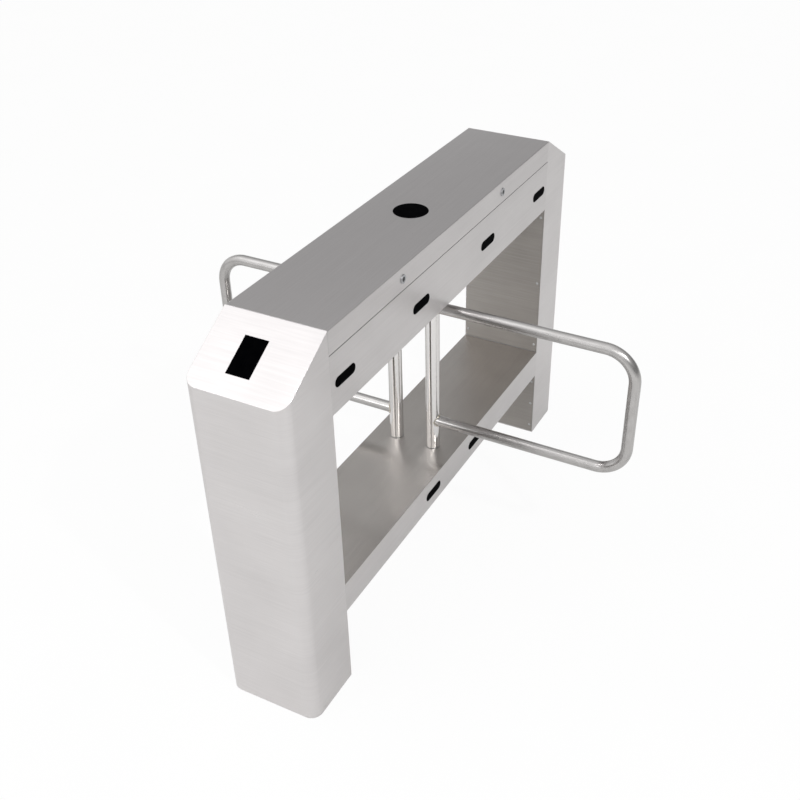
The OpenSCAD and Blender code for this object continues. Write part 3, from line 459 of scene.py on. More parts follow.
# Sheet metal, with its folds and cut edges
for node in ("near_leg_casing", "far_leg_casing"):
    from_node(node, 0.7, casing_steel)
# The access panels take the brushed steel coloured darker as painted shade
for node in ("near_access_panels", "far_access_panels"):
    from_node(node, 0.4, panel_steel_painted_shade)
for node in ("beam_trough", "lower_rail", "lid_cover"):
    from_node(node, 0.5, sheet_steel)
from_node("shelf_plate", 0.5, shelf_steel)

# Windows
for node in ("front_sensor_windows", "back_sensor_windows", "near_reader_window", "far_reader_window",
             "indicator_window"):
    from_node(node, 0.5, black_acrylic)


# Arms: each post carries a U-shaped tube, coped to the post and welded round
ARM_BEND = 80 * MM  # radius of the tube's bends, on its centreline
ARM_SINK = 0.4 * MM  # depth to which its ends go into the post


def arm_path(post_y, reach, low, high):
    """Points of the tube's centreline, from the post out along -Y, down and back."""
    steps = 24
    points = [Vector((0, -post_y, high))]
    for centre_z, start in ((high - ARM_BEND, 90), (low + ARM_BEND, 0)):
        for i in range(steps + 1):
            angle = math.radians(start - 90 * i / steps)
            points.append(Vector((
                0,
                -(reach - ARM_BEND) - ARM_BEND * math.cos(angle),
                centre_z + ARM_BEND * math.sin(angle),
            )))
    points.append(Vector((0, -post_y, low)))
    return points


def arm_tube_mesh():
    """Skin of the front arm's tube, with its post's distance and radius, its own radius and heights."""
    low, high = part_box("front_arm_tube")
    post_low, post_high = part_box("front_post")
    post_y = -(post_low.y + post_high.y) / 2
    post_r = (post_high.y - post_low.y) / 2
    tube_r = (high.x - low.x) / 2
    path = arm_path(post_y, -low.y - tube_r, low.z + tube_r, high.z - tube_r)
    form, rings = swept(path, tube_r, sides=48)
    for vert in rings[0] + rings[-1]:
        vert.co.y = -post_y - math.sqrt(post_r ** 2 - vert.co.x ** 2) + ARM_SINK
    return to_mesh(form), post_y, post_r, tube_r, (path[0].z, path[-1].z)


arm_mesh, post_y, post_r, tube_r, arm_heights = arm_tube_mesh()


def tree_with(name, *inputs):
    """Geometry tree with named inputs, and the sockets that give their values."""
    tree = bpy.data.node_groups.new(name, "GeometryNodeTree")
    tree.interface.new_socket("Geometry", in_out="INPUT", socket_type="NodeSocketGeometry")
    for label, kind in inputs:
        tree.interface.new_socket(label, in_out="INPUT", socket_type="NodeSocket" + kind)
    tree.interface.new_socket("Geometry", in_out="OUTPUT", socket_type="NodeSocketGeometry")
    return tree, add(tree, "NodeGroupInput").outputs


def close_tree(tree, geometry, material):
    """Ends a geometry tree in plain geometry with its material."""
    real = add(tree, "GeometryNodeRealizeInstances", {"Geometry": geometry})
    painted = add(tree, "GeometryNodeSetMaterial", {"Geometry": real.outputs[0], "Material": material})
    add(tree, "NodeGroupOutput", {"Geometry": painted.outputs[0]})


def grown(tree, seeds, **values):
    """Plain mesh that a geometry tree grows from its seeds."""
    obj = held(seeds)
    modifier = obj.modifiers.new("grow", "NODES")
    modifier.node_group = tree
    for socket in tree.interface.items_tree:
        label = socket.name.replace(" ", "_").lower()
        if socket.in_out == "INPUT" and label in values:
            modifier[socket.identifier] = values[label]
    return evaluated(obj)


def seeds_at(places, aims):
    """Points that carry the direction each fastener looks in."""
    mesh = bpy.data.meshes.new("seeds")
    mesh.from_pydata([tuple(p) for p in places], [], [])
    aim = mesh.attributes.new("aim", "FLOAT_VECTOR", "POINT")
    aim.data.foreach_set("vector", [c for a in aims for c in a])
    return mesh


# Weld bead: a ring round the joint whose thickness ripples where each drop of filler froze
def weld_bead_tree():
    tree, given = tree_with(
        "weld_bead", ("Bead Radius", "Float"), ("Drop Length", "Float"), ("Ripple", "Float"),
        ("Material", "Material"),
    )
    steps, corners = 160, 10
    line = add(tree, "GeometryNodeMeshToCurve", {"Mesh": given["Geometry"]})
    even = add(tree, "GeometryNodeResampleCurve", {"Curve": line.outputs[0], "Count": steps})
    travelled = add(tree, "GeometryNodeSplineParameter").outputs["Length"]
    phase = add(tree, "ShaderNodeMath", {0: travelled, 1: given["Drop Length"]}, operation="DIVIDE")
    turns = add(tree, "ShaderNodeMath", {0: phase.outputs[0], 1: 2 * math.pi}, operation="MULTIPLY")
    wave = add(tree, "ShaderNodeMath", {0: turns.outputs[0]}, operation="SINE")
    rippled = {0: wave.outputs[0], 1: given["Ripple"], 2: 1.0}
    swell = add(tree, "ShaderNodeMath", rippled, operation="MULTIPLY_ADD")
    sized = {0: swell.outputs[0], 1: given["Bead Radius"]}
    thick = add(tree, "ShaderNodeMath", sized, operation="MULTIPLY")
    section = add(tree, "GeometryNodeCurvePrimitiveCircle", {"Resolution": corners, "Radius": 1.0})
    skin = {"Curve": even.outputs[0], "Profile Curve": section.outputs[0], "Scale": thick.outputs[0]}
    bead = add(tree, "GeometryNodeCurveToMesh", skin)
    close_tree(tree, bead.outputs[0], given["Material"])
    return tree


# Screw or bolt heads: a disc drawn up to a smaller crown, with a round socket sunk in it
def fastener_tree():
    tree, given = tree_with(
        "fastener_heads", ("Sides", "Int"), ("Head Radius", "Float"), ("Head Height", "Float"),
        ("Crown", "Float"), ("Socket", "Float"), ("Socket Depth", "Float"), ("Material", "Material"),
    )
    disc = {"Vertices": given["Sides"], "Radius": given["Head Radius"]}
    seat = add(tree, "GeometryNodeMeshCircle", disc, fill_type="NGON")
    sole = add(tree, "GeometryNodeFlipFaces", {"Mesh": seat.outputs[0]})
    halved = {0: given["Head Height"], 1: 0.5}
    half = add(tree, "ShaderNodeMath", halved, operation="MULTIPLY").outputs[0]
    wall = add(tree, "GeometryNodeExtrudeMesh", {"Mesh": seat.outputs[0], "Offset Scale": half})
    raised = {"Mesh": wall.outputs[0], "Selection": wall.outputs[1], "Offset Scale": half}
    dome = add(tree, "GeometryNodeExtrudeMesh", raised)
    drawn_in = {"Geometry": dome.outputs[0], "Selection": dome.outputs[1], "Scale": given["Crown"]}
    crown = add(tree, "GeometryNodeScaleElements", drawn_in)
    doubled = {"Mesh": crown.outputs[0], "Selection": dome.outputs[1], "Offset Scale": 0.0}
    inset = add(tree, "GeometryNodeExtrudeMesh", doubled)
    narrowed = {"Geometry": inset.outputs[0], "Selection": inset.outputs[1], "Scale": given["Socket"]}
    rim = add(tree, "GeometryNodeScaleElements", narrowed)
    downward = {0: given["Socket Depth"], 1: -1.0}
    drop = add(tree, "ShaderNodeMath", downward, operation="MULTIPLY").outputs[0]
    sinking = {"Mesh": rim.outputs[0], "Selection": inset.outputs[1], "Offset Scale": drop}
    sunk = add(tree, "GeometryNodeExtrudeMesh", sinking)
    head = add(tree, "GeometryNodeJoinGeometry", {"Geometry": sunk.outputs[0]})
    tree.links.new(sole.outputs[0], head.inputs[0])
    whole = add(tree, "GeometryNodeMergeByDistance", {"Geometry": head.outputs[0], "Distance": CLOSE})
    aim = add(tree, "GeometryNodeInputNamedAttribute", {"Name": "aim"}, data_type="FLOAT_VECTOR")
    facing = add(tree, "FunctionNodeAlignRotationToVector", {"Vector": aim.outputs[0]}, axis="Z")
    chance = add(tree, "FunctionNodeRandomValue", {"Max": 2 * math.pi, "Seed": 7}, data_type="FLOAT")
    spin = add(tree, "FunctionNodeAxisAngleToRotation", {"Axis": (0, 0, 1), "Angle": chance.outputs[1]})
    both = {"Rotation": facing.outputs[0], "Rotate By": spin.outputs[0]}
    turn = add(tree, "FunctionNodeRotateRotation", both, rotation_space="LOCAL")
    spots = {"Points": given["Geometry"], "Instance": whole.outputs[0], "Rotation": turn.outputs[0]}
    placed = add(tree, "GeometryNodeInstanceOnPoints", spots)
    close_tree(tree, placed.outputs[0], given["Material"])
    return tree


weld_tree = weld_bead_tree()
heads_tree = fastener_tree()


def weld_seeds():
    """Closed lines where the arm tube meets its post, just proud of both."""
    mesh = bpy.data.meshes.new("weld_lines")
    count = 96
    line_r, proud = tube_r + 0.6 * MM, 0.5 * MM
    places, edges = [], []
    for height in arm_heights:
        first = len(places)
        for k in range(count):
            angle = 2 * math.pi * k / count
            x = line_r * math.cos(angle)
            z = height + line_r * math.sin(angle)
            places.append((x, -post_y - math.sqrt(post_r ** 2 - x ** 2) - proud, z))
            edges.append((first + k, first + (k + 1) % count))
    mesh.from_pydata(places, edges, [])
    return mesh


def post_mesh():
    """Post tube with its wall and small chamfers at both ends."""
    low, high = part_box("front_post")
    wall, chamfer = 1.5 * MM, 0.5 * MM
    outline = [
        (post_r - wall, low.z), (post_r - chamfer, low.z), (post_r, low.z + chamfer),
        (post_r, high.z - chamfer), (post_r - chamfer, high.z), (post_r - wall, high.z),
    ]
    form = bmesh.new()
    turned_solid(form, outline, (0, -post_y, 0), sides=64, bored=True)
    mesh = to_mesh(form)
    mesh.set_sharp_from_angle(angle=math.radians(40))
    return mesh


bead_mesh = grown(weld_tree, weld_seeds(), bead_radius=1.5 * MM, drop_length=2.4 * MM, ripple=0.22,
                  material=weld_steel)
for polygon in bead_mesh.polygons:
    polygon.use_smooth = True
post_form = post_mesh()
for side, shaped in (("front", lambda mesh: mesh), ("back", half_turn)):
    body = side + "_arm"
    piece(body + "_tube_piece", shaped(arm_mesh), arm_steel, body, "tube_steel", body + "_tube")
    piece(side + "_post_piece", shaped(post_form), tube_steel, body, "tube_steel", side + "_post")
    piece(side + "_arm_welds", shaped(bead_mesh), None, body, "tube_steel")


# Screws of the access panels
def panel_screw_mesh():
    """Screw heads at both ends and the middle of each panel's two long sides."""
    head_r, from_end, seam, foot_gap = 4 * MM, 25 * MM, 0.5 * MM, 4 * MM
    leg_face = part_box("far_access_panels")[0].x
    side_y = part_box("panel_screws")[1].y - head_r
    rail_low, beam_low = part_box("lower_rail")[0].z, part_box("beam_trough")[0].z
    shelf_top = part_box("shelf_plate")[1].z
    places, aims = [], []
    for low, high in ((foot_gap, rail_low - seam), (shelf_top + seam, beam_low - seam)):
        for z in (low + from_end, (low + high) / 2, high - from_end):
            for y in (-side_y, side_y):
                for end in (-1, 1):
                    places.append((end * leg_face, y, z))
                    aims.append((-end, 0, 0))
    return grown(heads_tree, seeds_at(places, aims), sides=20, head_radius=head_r, head_height=1.8 * MM,
                 crown=0.6, socket=0.5, socket_depth=1.2 * MM, material=screw_steel)


screws = panel_screw_mesh()
screws.set_sharp_from_angle(angle=math.radians(30))
piece("panel_screw_heads", screws, None, "housing", "fasteners", "panel_screws")

# Plates, brackets and other parts behind the sheet metal
for node in ("near_base_plate", "far_base_plate", "joint_brackets", "drive_base_plate", "drive_top_plate",
             "foot_bearing_plate", "lock_keepers"):
    from_node(node, 0.4, zinc_steel)
for node in ("bracket_bolts", "plate_standoffs"):
    from_node(node, 0.3, screw_steel)
for node in ("body_hinge_leaf", "lid_hinge_leaf"):
    from_node(node, 0.2, hinge_steel)
for side in ("front", "back"):
    from_node(side + "_top_shaft", 0.3, shaft_steel)
    from_node(side + "_foot_shaft", 0.3, shaft_steel)
    from_node(side + "_stop_lever", 0.5, shaft_steel)
    from_node(side + "_drive_gear", 0.25, gear_steel)
    from_node(side + "_pinion", 0.2, gear_steel)
    from_node(side + "_bearings", 0.6, cast_iron)
    from_node(side + "_gearbox", 0.3, gearbox_metal)
from_node("lid_gasket", 0.8, rubber)
from_node("stop_buffers", 0.8, rubber)
from_node("near_card_reader", 1.0, dark_abs)
from_node("far_card_reader", 1.0, dark_abs)
from_node("indicator_cup", 0.4, dark_abs)
from_node("cable_duct", 0.3, duct_plastic)
from_node("lock_barrels", 0.25, lock_chrome)
for node in ("left_lock", "right_lock"):
    from_node(node, 0.25, lock_nickel)


# Parts built from more than one material
OFF_BORDER = 0.1 * MM  # how far off a border its test stands, so that faces on it fall on one side


def sorted_node(node, width, materials, region):
    """Makes a piece shaped as a CAD node, each face in the material that region picks for its middle."""
    mesh = eased(merged_copy(node), width)
    mesh.materials.clear()
    for material in materials:
        mesh.materials.append(material)
    for polygon in mesh.polygons:
        polygon.material_index = region(polygon.center)
    piece(node + "_piece", mesh, None, body_of_node[node], slot_of_node[node], node)


sensor_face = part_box("sensor_boards")[1].y
indicator_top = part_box("indicator_board")[1].z
supply_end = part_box("power_supply")[0].x
motor_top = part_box("front_motor")[1].z
gearbox_low, gearbox_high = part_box("front_gearbox")
motor_axis = (gearbox_low + gearbox_high) / 2


def sensor_region(middle):
    """0 on a sensor board, 1 on its diodes against the window and 2 on its plug."""
    diode_h, board_t = 8 * MM, 1.6 * MM
    depth = sensor_face - abs(middle.y)
    if depth < diode_h - OFF_BORDER:
        return 1
    return 2 if depth > diode_h + board_t + OFF_BORDER else 0


def indicator_region(middle):
    """0 on the light board and 1 on its diodes."""
    diode_h = 3 * MM
    return int(middle.z > indicator_top - diode_h + OFF_BORDER)


def supply_region(middle):
    """0 on the casing of the power supply and 1 on its terminals at the near end."""
    terminals_l = 14 * MM
    return int(middle.x < supply_end + terminals_l + OFF_BORDER)


def motor_region(middle):
    """0 on the can, 1 on the end cap with its eased edge and 2 on the plug socket beside the can."""
    can_r, cap_h, edge = 25 * MM, 10 * MM, 0.2 * MM
    across, along = abs(middle.x) - abs(motor_axis.x), abs(middle.y) - abs(motor_axis.y)
    if math.hypot(across, along) > can_r + OFF_BORDER:
        return 2
    return int(middle.z > motor_top - cap_h - edge)


sorted_node("sensor_boards", 0.2, (board_lacquer, diode_epoxy, plug_nylon), sensor_region)
sorted_node("indicator_board", 0.2, (board_lacquer, diode_epoxy), indicator_region)
sorted_node("power_supply", 0.3, (supply_sheet, dark_abs), supply_region)
for side in ("front", "back"):
    sorted_node(side + "_motor", 0.4, (motor_paint, dark_abs, plug_nylon), motor_region)


# Forms drawn in millimetres from an origin
def block(form, low, high):
    """Adds a closed box between two corners."""
    spans = list(zip(low, high))
    corners = [form.verts.new((x, y, z)) for x in spans[0] for y in spans[1] for z in spans[2]]
    for loop in ((0, 1, 3, 2), (4, 6, 7, 5), (0, 4, 5, 1), (2, 3, 7, 6), (0, 2, 6, 4), (1, 5, 7, 3)):
        form.faces.new([corners[i] for i in loop])


def prism(form, outline, start, end, along_x=False):
    """Adds a bar of one outline that runs from start to end along Y, or along X."""
    rings = [
        [form.verts.new((w, u, v) if along_x else (u, w, v)) for u, v in outline] for w in (start, end)
    ]
    for ring in rings:
        form.faces.new(ring)
    walls(form, rings)


def fitted(name, draw, origin, width, material, slot, *nodes):
    """Makes a piece of the housing that draw shapes in millimetres from an origin, with eased edges."""
    form = bmesh.new()
    draw(form)
    bmesh.ops.scale(form, vec=(MM, MM, MM), verts=form.verts)
    bmesh.ops.translate(form, vec=origin, verts=form.verts)
    piece(name, eased(to_mesh(form), width), material, "housing", slot, *nodes)


UP = (0, 0, 1)


def heads(name, origin, spots, aims, radius, height, material=screw_steel, body="housing"):
    """Makes screw heads at spots in millimetres from an origin, each looking along its aim."""
    places = [origin + MM * Vector(spot) for spot in spots]
    mesh = grown(heads_tree, seeds_at(places, aims), sides=16, head_radius=radius * MM,
                 head_height=height * MM, crown=0.8, socket=0.5, socket_depth=0.6 * height * MM,
                 material=material)
    mesh.set_sharp_from_angle(angle=math.radians(30))
    piece(name, mesh, None, body, "fasteners")


# Small blocks, such as solder legs, fins and chip resistors, each pointing where its seed looks
def block_tree():
    tree, given = tree_with(
        "small_blocks", ("Length", "Float"), ("Width", "Float"), ("Height", "Float"),
        ("Left Out", "Float"), ("Seed", "Int"), ("Material", "Material"),
    )
    size = add(tree, "ShaderNodeCombineXYZ", {0: given["Length"], 1: given["Width"], 2: given["Height"]})
    solid = add(tree, "GeometryNodeMeshCube", {"Size": size.outputs[0]})
    half = add(tree, "ShaderNodeMath", {0: given["Height"], 1: 0.5}, operation="MULTIPLY")
    up = add(tree, "ShaderNodeCombineXYZ", {2: half.outputs[0]})
    raised = {"Geometry": solid.outputs[0], "Translation": up.outputs[0]}
    standing = add(tree, "GeometryNodeTransform", raised)
    odds = {"Probability": given["Left Out"], "Seed": given["Seed"]}
    chance = add(tree, "FunctionNodeRandomValue", odds, data_type="BOOLEAN")
    dropped = {"Geometry": given["Geometry"], "Selection": chance.outputs[3]}
    kept = add(tree, "GeometryNodeDeleteGeometry", dropped, domain="POINT")
    aim = add(tree, "GeometryNodeInputNamedAttribute", {"Name": "aim"}, data_type="FLOAT_VECTOR")
    ahead = {"Vector": aim.outputs[0]}
    facing = add(tree, "FunctionNodeAlignRotationToVector", ahead, axis="X", pivot_axis="Z")
    spots = {"Points": kept.outputs[0], "Instance": standing.outputs[0], "Rotation": facing.outputs[0]}
    placed = add(tree, "GeometryNodeInstanceOnPoints", spots)
    close_tree(tree, placed.outputs[0], given["Material"])
    return tree


blocks_tree = block_tree()


def small_blocks(name, origin, spots, aims, size, material, slot, left_out=0.0, seed=1):
    """Makes blocks of one length, width and height in millimetres, some left out at random."""
    places = [origin + MM * Vector(spot) for spot in spots]
    mesh = grown(blocks_tree, seeds_at(places, aims), length=size[0] * MM, width=size[1] * MM,
                 height=size[2] * MM, left_out=left_out, seed=seed, material=material)
    piece(name, mesh, None, "housing", slot)


# Control board: lacquered laminate on brass spacers, with its parts on top
def fit_control_board():
    low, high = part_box("control_board")
    origin = Vector(((low.x + high.x) / 2, (low.y + high.y) / 2, low.z))
    half_l, half_w = (high.x - low.x) / 2 / MM, (high.y - low.y) / 2 / MM
    underside, top, screw_inset = 8, 9.6, 6
    screw_l, screw_w = half_l - screw_inset, half_w - screw_inset
    corners = [(sx * screw_l, sy * screw_w) for sx in (-1, 1) for sy in (-1, 1)]
    connectors_x = [(i - 2.45) * 30 for i in range(5)]
    way = 5.7
    capacitors_at = [(40.8 + 14 * i, 7.7, top) for i in range(3)]

    def laminate(form):
        block(form, (-half_l, -half_w, underside), (half_l, half_w, top))
        posts = [edge for edge in form.edges if edge.verts[0].co.z != edge.verts[1].co.z]
        bmesh.ops.bevel(form, geom=posts, offset=3, segments=4, affect="EDGES")

    def spacers(form):
        for x, y in corners:
            outline = [(0, 0), (2.6, 0), (3, 0.5), (3, 7.5), (2.6, underside), (0, underside)]
            turned_solid(form, outline, (x, y, 0), sides=6)

    def relays(form):
        for i in range(4):
            x = (i - 3.2) * 21.85
            block(form, (x, 22, top), (x + 19, 37, top + 2.2))
            block(form, (x + 0.4, 22.4, top + 2.2), (x + 18.6, 36.6, top + 16))

    def connectors(form):
        outline = [(-50.6, 0), (-40.6, 0), (-40.6, 12), (-46, 12), (-47, 8.6), (-49.4, 8.6),
                   (-49.4, 7.4), (-46.6, 7.4), (-46.6, 2.4), (-50.6, 2.4)]
        for x in connectors_x:
            prism(form, [(y, z + top) for y, z in outline], x, x + 24, along_x=True)
            for k in range(5):
                block(form, (x + way * k, -50, top + 2.4), (x + way * k + 1.2, -46.6, top + 7.4))

    def chip(form):
        outline = [(-10.5, 0.5), (10.5, 0.5), (10.9, 1.6), (10.3, 3), (-10.3, 3), (-10.9, 1.6)]
        prism(form, [(x, z + top) for x, z in outline], -18.3, 2.6)

    def capacitors(form):
        outline = [(0, 0), (4.9, 0), (5, 0.3), (5, 1.8), (4.6, 2.3), (5, 2.8), (5, 19.5), (4.6, 20),
                   (4.2, 20), (4.1, 19.8), (0, 19.8)]
        for place in capacitors_at:
            turned_solid(form, outline, place)

    def capacitor_tops(form):
        for place in capacitors_at:
            turned_solid(form, [(0, 19.8), (4.1, 19.8), (4.0, 19.95), (0, 19.95)], place)

    def sink_base(form):
        block(form, (34, 26.4, top), (74, 44.4, top + 2))

    slot = "circuit_board"
    fitted("control_board_laminate", laminate, origin, 0.1, board_lacquer, slot, "control_board")
    fitted("control_board_spacers", spacers, origin, 0.1, turned_brass, slot)
    fitted("control_board_relays", relays, origin, 0.4, relay_blue, slot)
    fitted("control_board_connectors", connectors, origin, 0.15, clamp_green, slot)
    fitted("control_board_chip", chip, origin, 0.15, chip_epoxy, slot)
    fitted("control_board_capacitors", capacitors, origin, 0.1, sleeve_film, slot)
    fitted("control_board_capacitor_tops", capacitor_tops, origin, 0.03, supply_sheet, slot)
    fitted("control_board_heat_sink", sink_base, origin, 0.1, black_anodised, slot)
    small_blocks("control_board_fins", origin, [(35 + 4.75 * i, 35.4, top + 2) for i in range(9)],
                 [(0, 1, 0)] * 9, (18, 1.2, 8), black_anodised, slot)
    legs, outward = [], []
    for i in range(15):
        step = -9.1 + 1.3 * i
        for place, aim in (((step, -19.05, top), (0, -1, 0)), ((step, 3.35, top), (0, 1, 0)),
                           ((-11.5, step - 7.85, top), (-1, 0, 0)), ((11.5, step - 7.85, top), (1, 0, 0))):
            legs.append(place)
            outward.append(aim)
    small_blocks("control_board_chip_legs", origin, legs, outward, (1.2, 0.6, 1.2), tinned_copper, slot)
    grid = [(x, y) for x in range(-78, 30, 5) for y in (-34, -30, -26, 8, 12, 16) if abs(x) > 16 or y > 7]
    ways = [(1, 0, 0) if (x + 3 * y) % 4 else (0, 1, 0) for x, y in grid]
    chips = [(x, y, top) for x, y in grid]
    small_blocks("control_board_chip_resistors", origin, chips, ways, (3.2, 1.6, 0.7), chip_epoxy, slot,
                 left_out=0.45, seed=11)
    small_blocks("control_board_solder_ends", origin, chips, ways, (3.8, 1.5, 0.5), tinned_copper, slot,
                 left_out=0.45, seed=11)
    clamp_screws = [(x + 3.45 + way * k, -43.3, top + 12) for x in connectors_x for k in range(4)]
    heads("control_board_screws", origin, [(x, y, top) for x, y in corners], [UP] * 4, 2.8, 1.6)
    heads("control_board_clamp_screws", origin, clamp_screws, [UP] * len(clamp_screws), 1.7, 0.4)


# Terminals: clamps in three colours and a breaker, all on a top-hat rail
def fit_terminals():
    low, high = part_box("terminal_strip")
    origin = Vector(((low.x + high.x) / 2, low.y, low.z))
    length = (high.y - low.y) / MM
    starts = [(i + 0.3) * 9 for i in range(11)]
    clamp_w, breaker_w = 8.4, 16.8
    breakers_y = (length - 38, length - 20.8)
    slot = "terminal_plastic"
    rail = [(-17.5, 6), (-13.5, 6), (-13.5, 0), (13.5, 0), (13.5, 6), (17.5, 6), (17.5, 7), (12.5, 7),
            (12.5, 1), (-12.5, 1), (-12.5, 7), (-17.5, 7)]
    clamp = [(-16, 7.1), (16, 7.1), (16, 35), (14.5, 37), (13.2, 37), (13.2, 34), (8.2, 34), (8.2, 37),
             (5, 37), (5, 35.5), (-5, 35.5), (-5, 37), (-8.2, 37), (-8.2, 34), (-13.2, 34),
             (-13.2, 37), (-14.5, 37), (-16, 35)]
    breaker = [(-18, 7.1), (18, 7.1), (18, 30), (12, 31), (12, 41), (-12, 41), (-12, 31), (-18, 30)]
    toggle = [(-5, 41), (5, 41), (4.4, 44), (3.2, 48.6), (-1.6, 49), (-2.6, 45), (-5, 43)]

    def row(outline, width, row_starts):
        def draw(form):
            for start in row_starts:
                prism(form, outline, start, start + width)
        return draw

    fitted("terminal_rail", row(rail, length, [0]), origin, 0.2, zinc_steel, slot, "terminal_strip")
    for name, first, last, material in (("grey", 0, 7, clamp_grey), ("blue", 7, 9, clamp_blue),
                                        ("green", 9, 11, clamp_green)):
        clamps = row(clamp, clamp_w, starts[first:last])
        fitted(f"terminal_clamps_{name}", clamps, origin, 0.25, material, slot)
    fitted("breaker_body", row(breaker, breaker_w, breakers_y), origin, 0.4, switch_grey, slot)
    fitted("breaker_toggle", row(toggle, 22, [length - 32]), origin, 0.6, dark_abs, slot)
    clamp_screws = [(x, start + clamp_w / 2, 34) for start in starts for x in (-10.7, 10.7)]
    heads("terminal_screws", origin, clamp_screws, [UP] * len(clamp_screws), 2.3, 1.4)
    breaker_screws = [(x, start + breaker_w / 2, 30.6) for x in (-15, 15) for start in breakers_y]
    heads("breaker_screws", origin, breaker_screws, [UP] * len(breaker_screws), 2.4, 1.2)


# Link cable between the ducts: one smooth bend of four diameters at each end, held by three saddles
def fit_link_cable():
    bend, steps = 24 * MM, 12
    low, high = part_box("link_cable")
    radius = (high.z - low.z) / 2
    end_x, run_y, z = high.x - radius, high.y - radius, (low.z + high.z) / 2
    path = [Vector((end_x, low.y, z))]
    for i in range(steps + 1):
        angle = math.radians(90 * i / steps)
        path.append(Vector((end_x - bend + bend * math.cos(angle), run_y - bend + bend * math.sin(angle), z)))
    path += [Vector((-p.x, p.y, p.z)) for p in reversed(path)]
    form, rings = swept(path, radius, sides=20)
    for ring in (rings[0], rings[-1]):
        form.faces.new(ring)
    mesh = to_mesh(form)
    mesh.set_sharp_from_angle(angle=math.radians(50))
    piece("link_cable_piece", mesh, cable_pvc, "housing", slot_of_node["link_cable"], "link_cable")

    def arch(arch_r):
        turns = [math.pi * k / 10 for k in range(11)]
        return [(arch_r * math.cos(a), arch_r * math.sin(a)) for a in turns]

    def saddles(form):
        outer_r, inner_r, foot_r, foot_top, foot_low, half_w = 4.2, 3.1, 5.6, -3.2, -4.2, 3
        left = [(-outer_r, foot_top), (-foot_r, foot_top), (-foot_r, foot_low), (-inner_r, foot_low)]
        right = [(-y, z) for y, z in reversed(left)]
        outline = arch(outer_r) + left + arch(inner_r)[::-1] + right
        for x in (-90, 0, 90):
            prism(form, outline, x - half_w, x + half_w, along_x=True)

    fitted("link_cable_saddles", saddles, Vector((0, run_y, z + 0.9 * MM)), 0.15, plug_nylon,
           slot_of_node["link_cable"])


def hinge_face(node):
    """Depth of the outer face of a hinge leaf, where most of its area lies."""
    mesh = frame["nodes"][node].data
    areas = {}
    for polygon in mesh.polygons:
        if polygon.normal.y > 0.99:
            depth = round(polygon.center.y, 5)
            areas[depth] = areas.get(depth, 0) + polygon.area
    return max(areas, key=areas.get)


# Fasteners inside the beam: bearing flanges, motor caps, supply terminals and hinge rivets
def fit_inner_fasteners():
    flange_t, bolt_square, cap_screw_x = 6, 17.3, 14
    post = Vector((0, -post_y, 0))
    motor = Vector((motor_axis.x, motor_axis.y, 0))
    base_top, plate_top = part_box("drive_base_plate")[1].z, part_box("drive_top_plate")[1].z
    foot_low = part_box("foot_bearing_plate")[0].z
    square = [(bolt_square * sx, bolt_square * sy) for sx in (-1, 1) for sy in (-1, 1)]
    upward = [(x, y, level / MM + flange_t) for level in (base_top, plate_top) for x, y in square]
    downward = [(x, y, foot_low / MM - flange_t) for x, y in square]
    aims = [UP] * len(upward) + [(0, 0, -1)] * len(downward)
    caps = [(x, 0, motor_top / MM) for x in (-cap_screw_x, cap_screw_x)]
    for side, turn in (("front", 1), ("back", -1)):
        heads(side + "_bearing_bolts", turn * post, upward + downward, aims, 2.2, 1.6)
        heads(side + "_motor_screws", turn * motor, caps, [UP] * 2, 2.4, 1.2)
    low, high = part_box("power_supply")
    middle = Vector((low.x + 7 * MM, (low.y + high.y) / 2, low.z))
    terminals = [(0, 11.5 * (i - 3), 12) for i in range(7)]
    heads("power_supply_screws", middle, terminals, [UP] * len(terminals), 2.7, 1.4)
    rivets, from_edge, from_end = 10, 6, 25
    for node, edge, inward in (("body_hinge_leaf", 0, 1), ("lid_hinge_leaf", 1, -1)):
        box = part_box(node)
        level = box[edge].z / MM + inward * from_edge
        reach = box[1].x / MM - from_end
        face = hinge_face(node) / MM
        spots = [(reach * (2 * i / (rivets - 1) - 1), face, level) for i in range(rivets)]
        heads(node + "_rivets", Vector(), spots, [(0, 1, 0)] * rivets, 2.6, 1.0, hinge_steel,
              body_of_node[node])


fit_control_board()
fit_terminals()
fit_link_cable()
fit_inner_fasteners()


# Floor: a pale studio floor that the camera sees as white, with the object's shadow kept
def studio_floor():
    radius, seen_glow, mirrored_glow = 40.0, 0.94, 0.16
    mesh = bpy.data.meshes.new("floor")
    form = bmesh.new()
    bmesh.ops.create_circle(form, cap_ends=True, segments=96, radius=radius)
    form.to_mesh(mesh)
    form.free()
    floor = held(mesh, "studio_floor")
    material = bpy.data.materials.new("matt_studio_paint")
    material.use_nodes = True
    tree = material.node_tree
    tree.nodes.clear()
    marks = streaks((400, 400, 400), 3.0)(tree)
    colours = {0: marks, 6: colour("#DDDDDC"), 7: colour("#E4E4E3")}
    tint = add(tree, "ShaderNodeMix", colours, data_type="RGBA")
    paint = add(tree, "ShaderNodeBsdfDiffuse", {"Color": tint.outputs[2]})
    white = add(tree, "ShaderNodeEmission", {"Color": (1, 1, 1, 1), "Strength": 1.0})
    rays = add(tree, "ShaderNodeLightPath").outputs
    watched = {0: rays["Is Camera Ray"], 1: seen_glow}
    seen = add(tree, "ShaderNodeMath", watched, operation="MULTIPLY").outputs[0]
    bounced = {0: rays["Is Glossy Ray"], 1: rays["Is Transmission Ray"]}
    mirrored = add(tree, "ShaderNodeMath", bounced, operation="MAXIMUM").outputs[0]
    glow = {0: mirrored, 1: mirrored_glow, 2: seen}
    share = add(tree, "ShaderNodeMath", glow, operation="MULTIPLY_ADD").outputs[0]
    mix = add(tree, "ShaderNodeMixShader", {0: share, 1: paint.outputs[0], 2: white.outputs[0]})
    add(tree, "ShaderNodeOutputMaterial", {"Surface": mix.outputs[0]})
    mesh.materials.append(material)


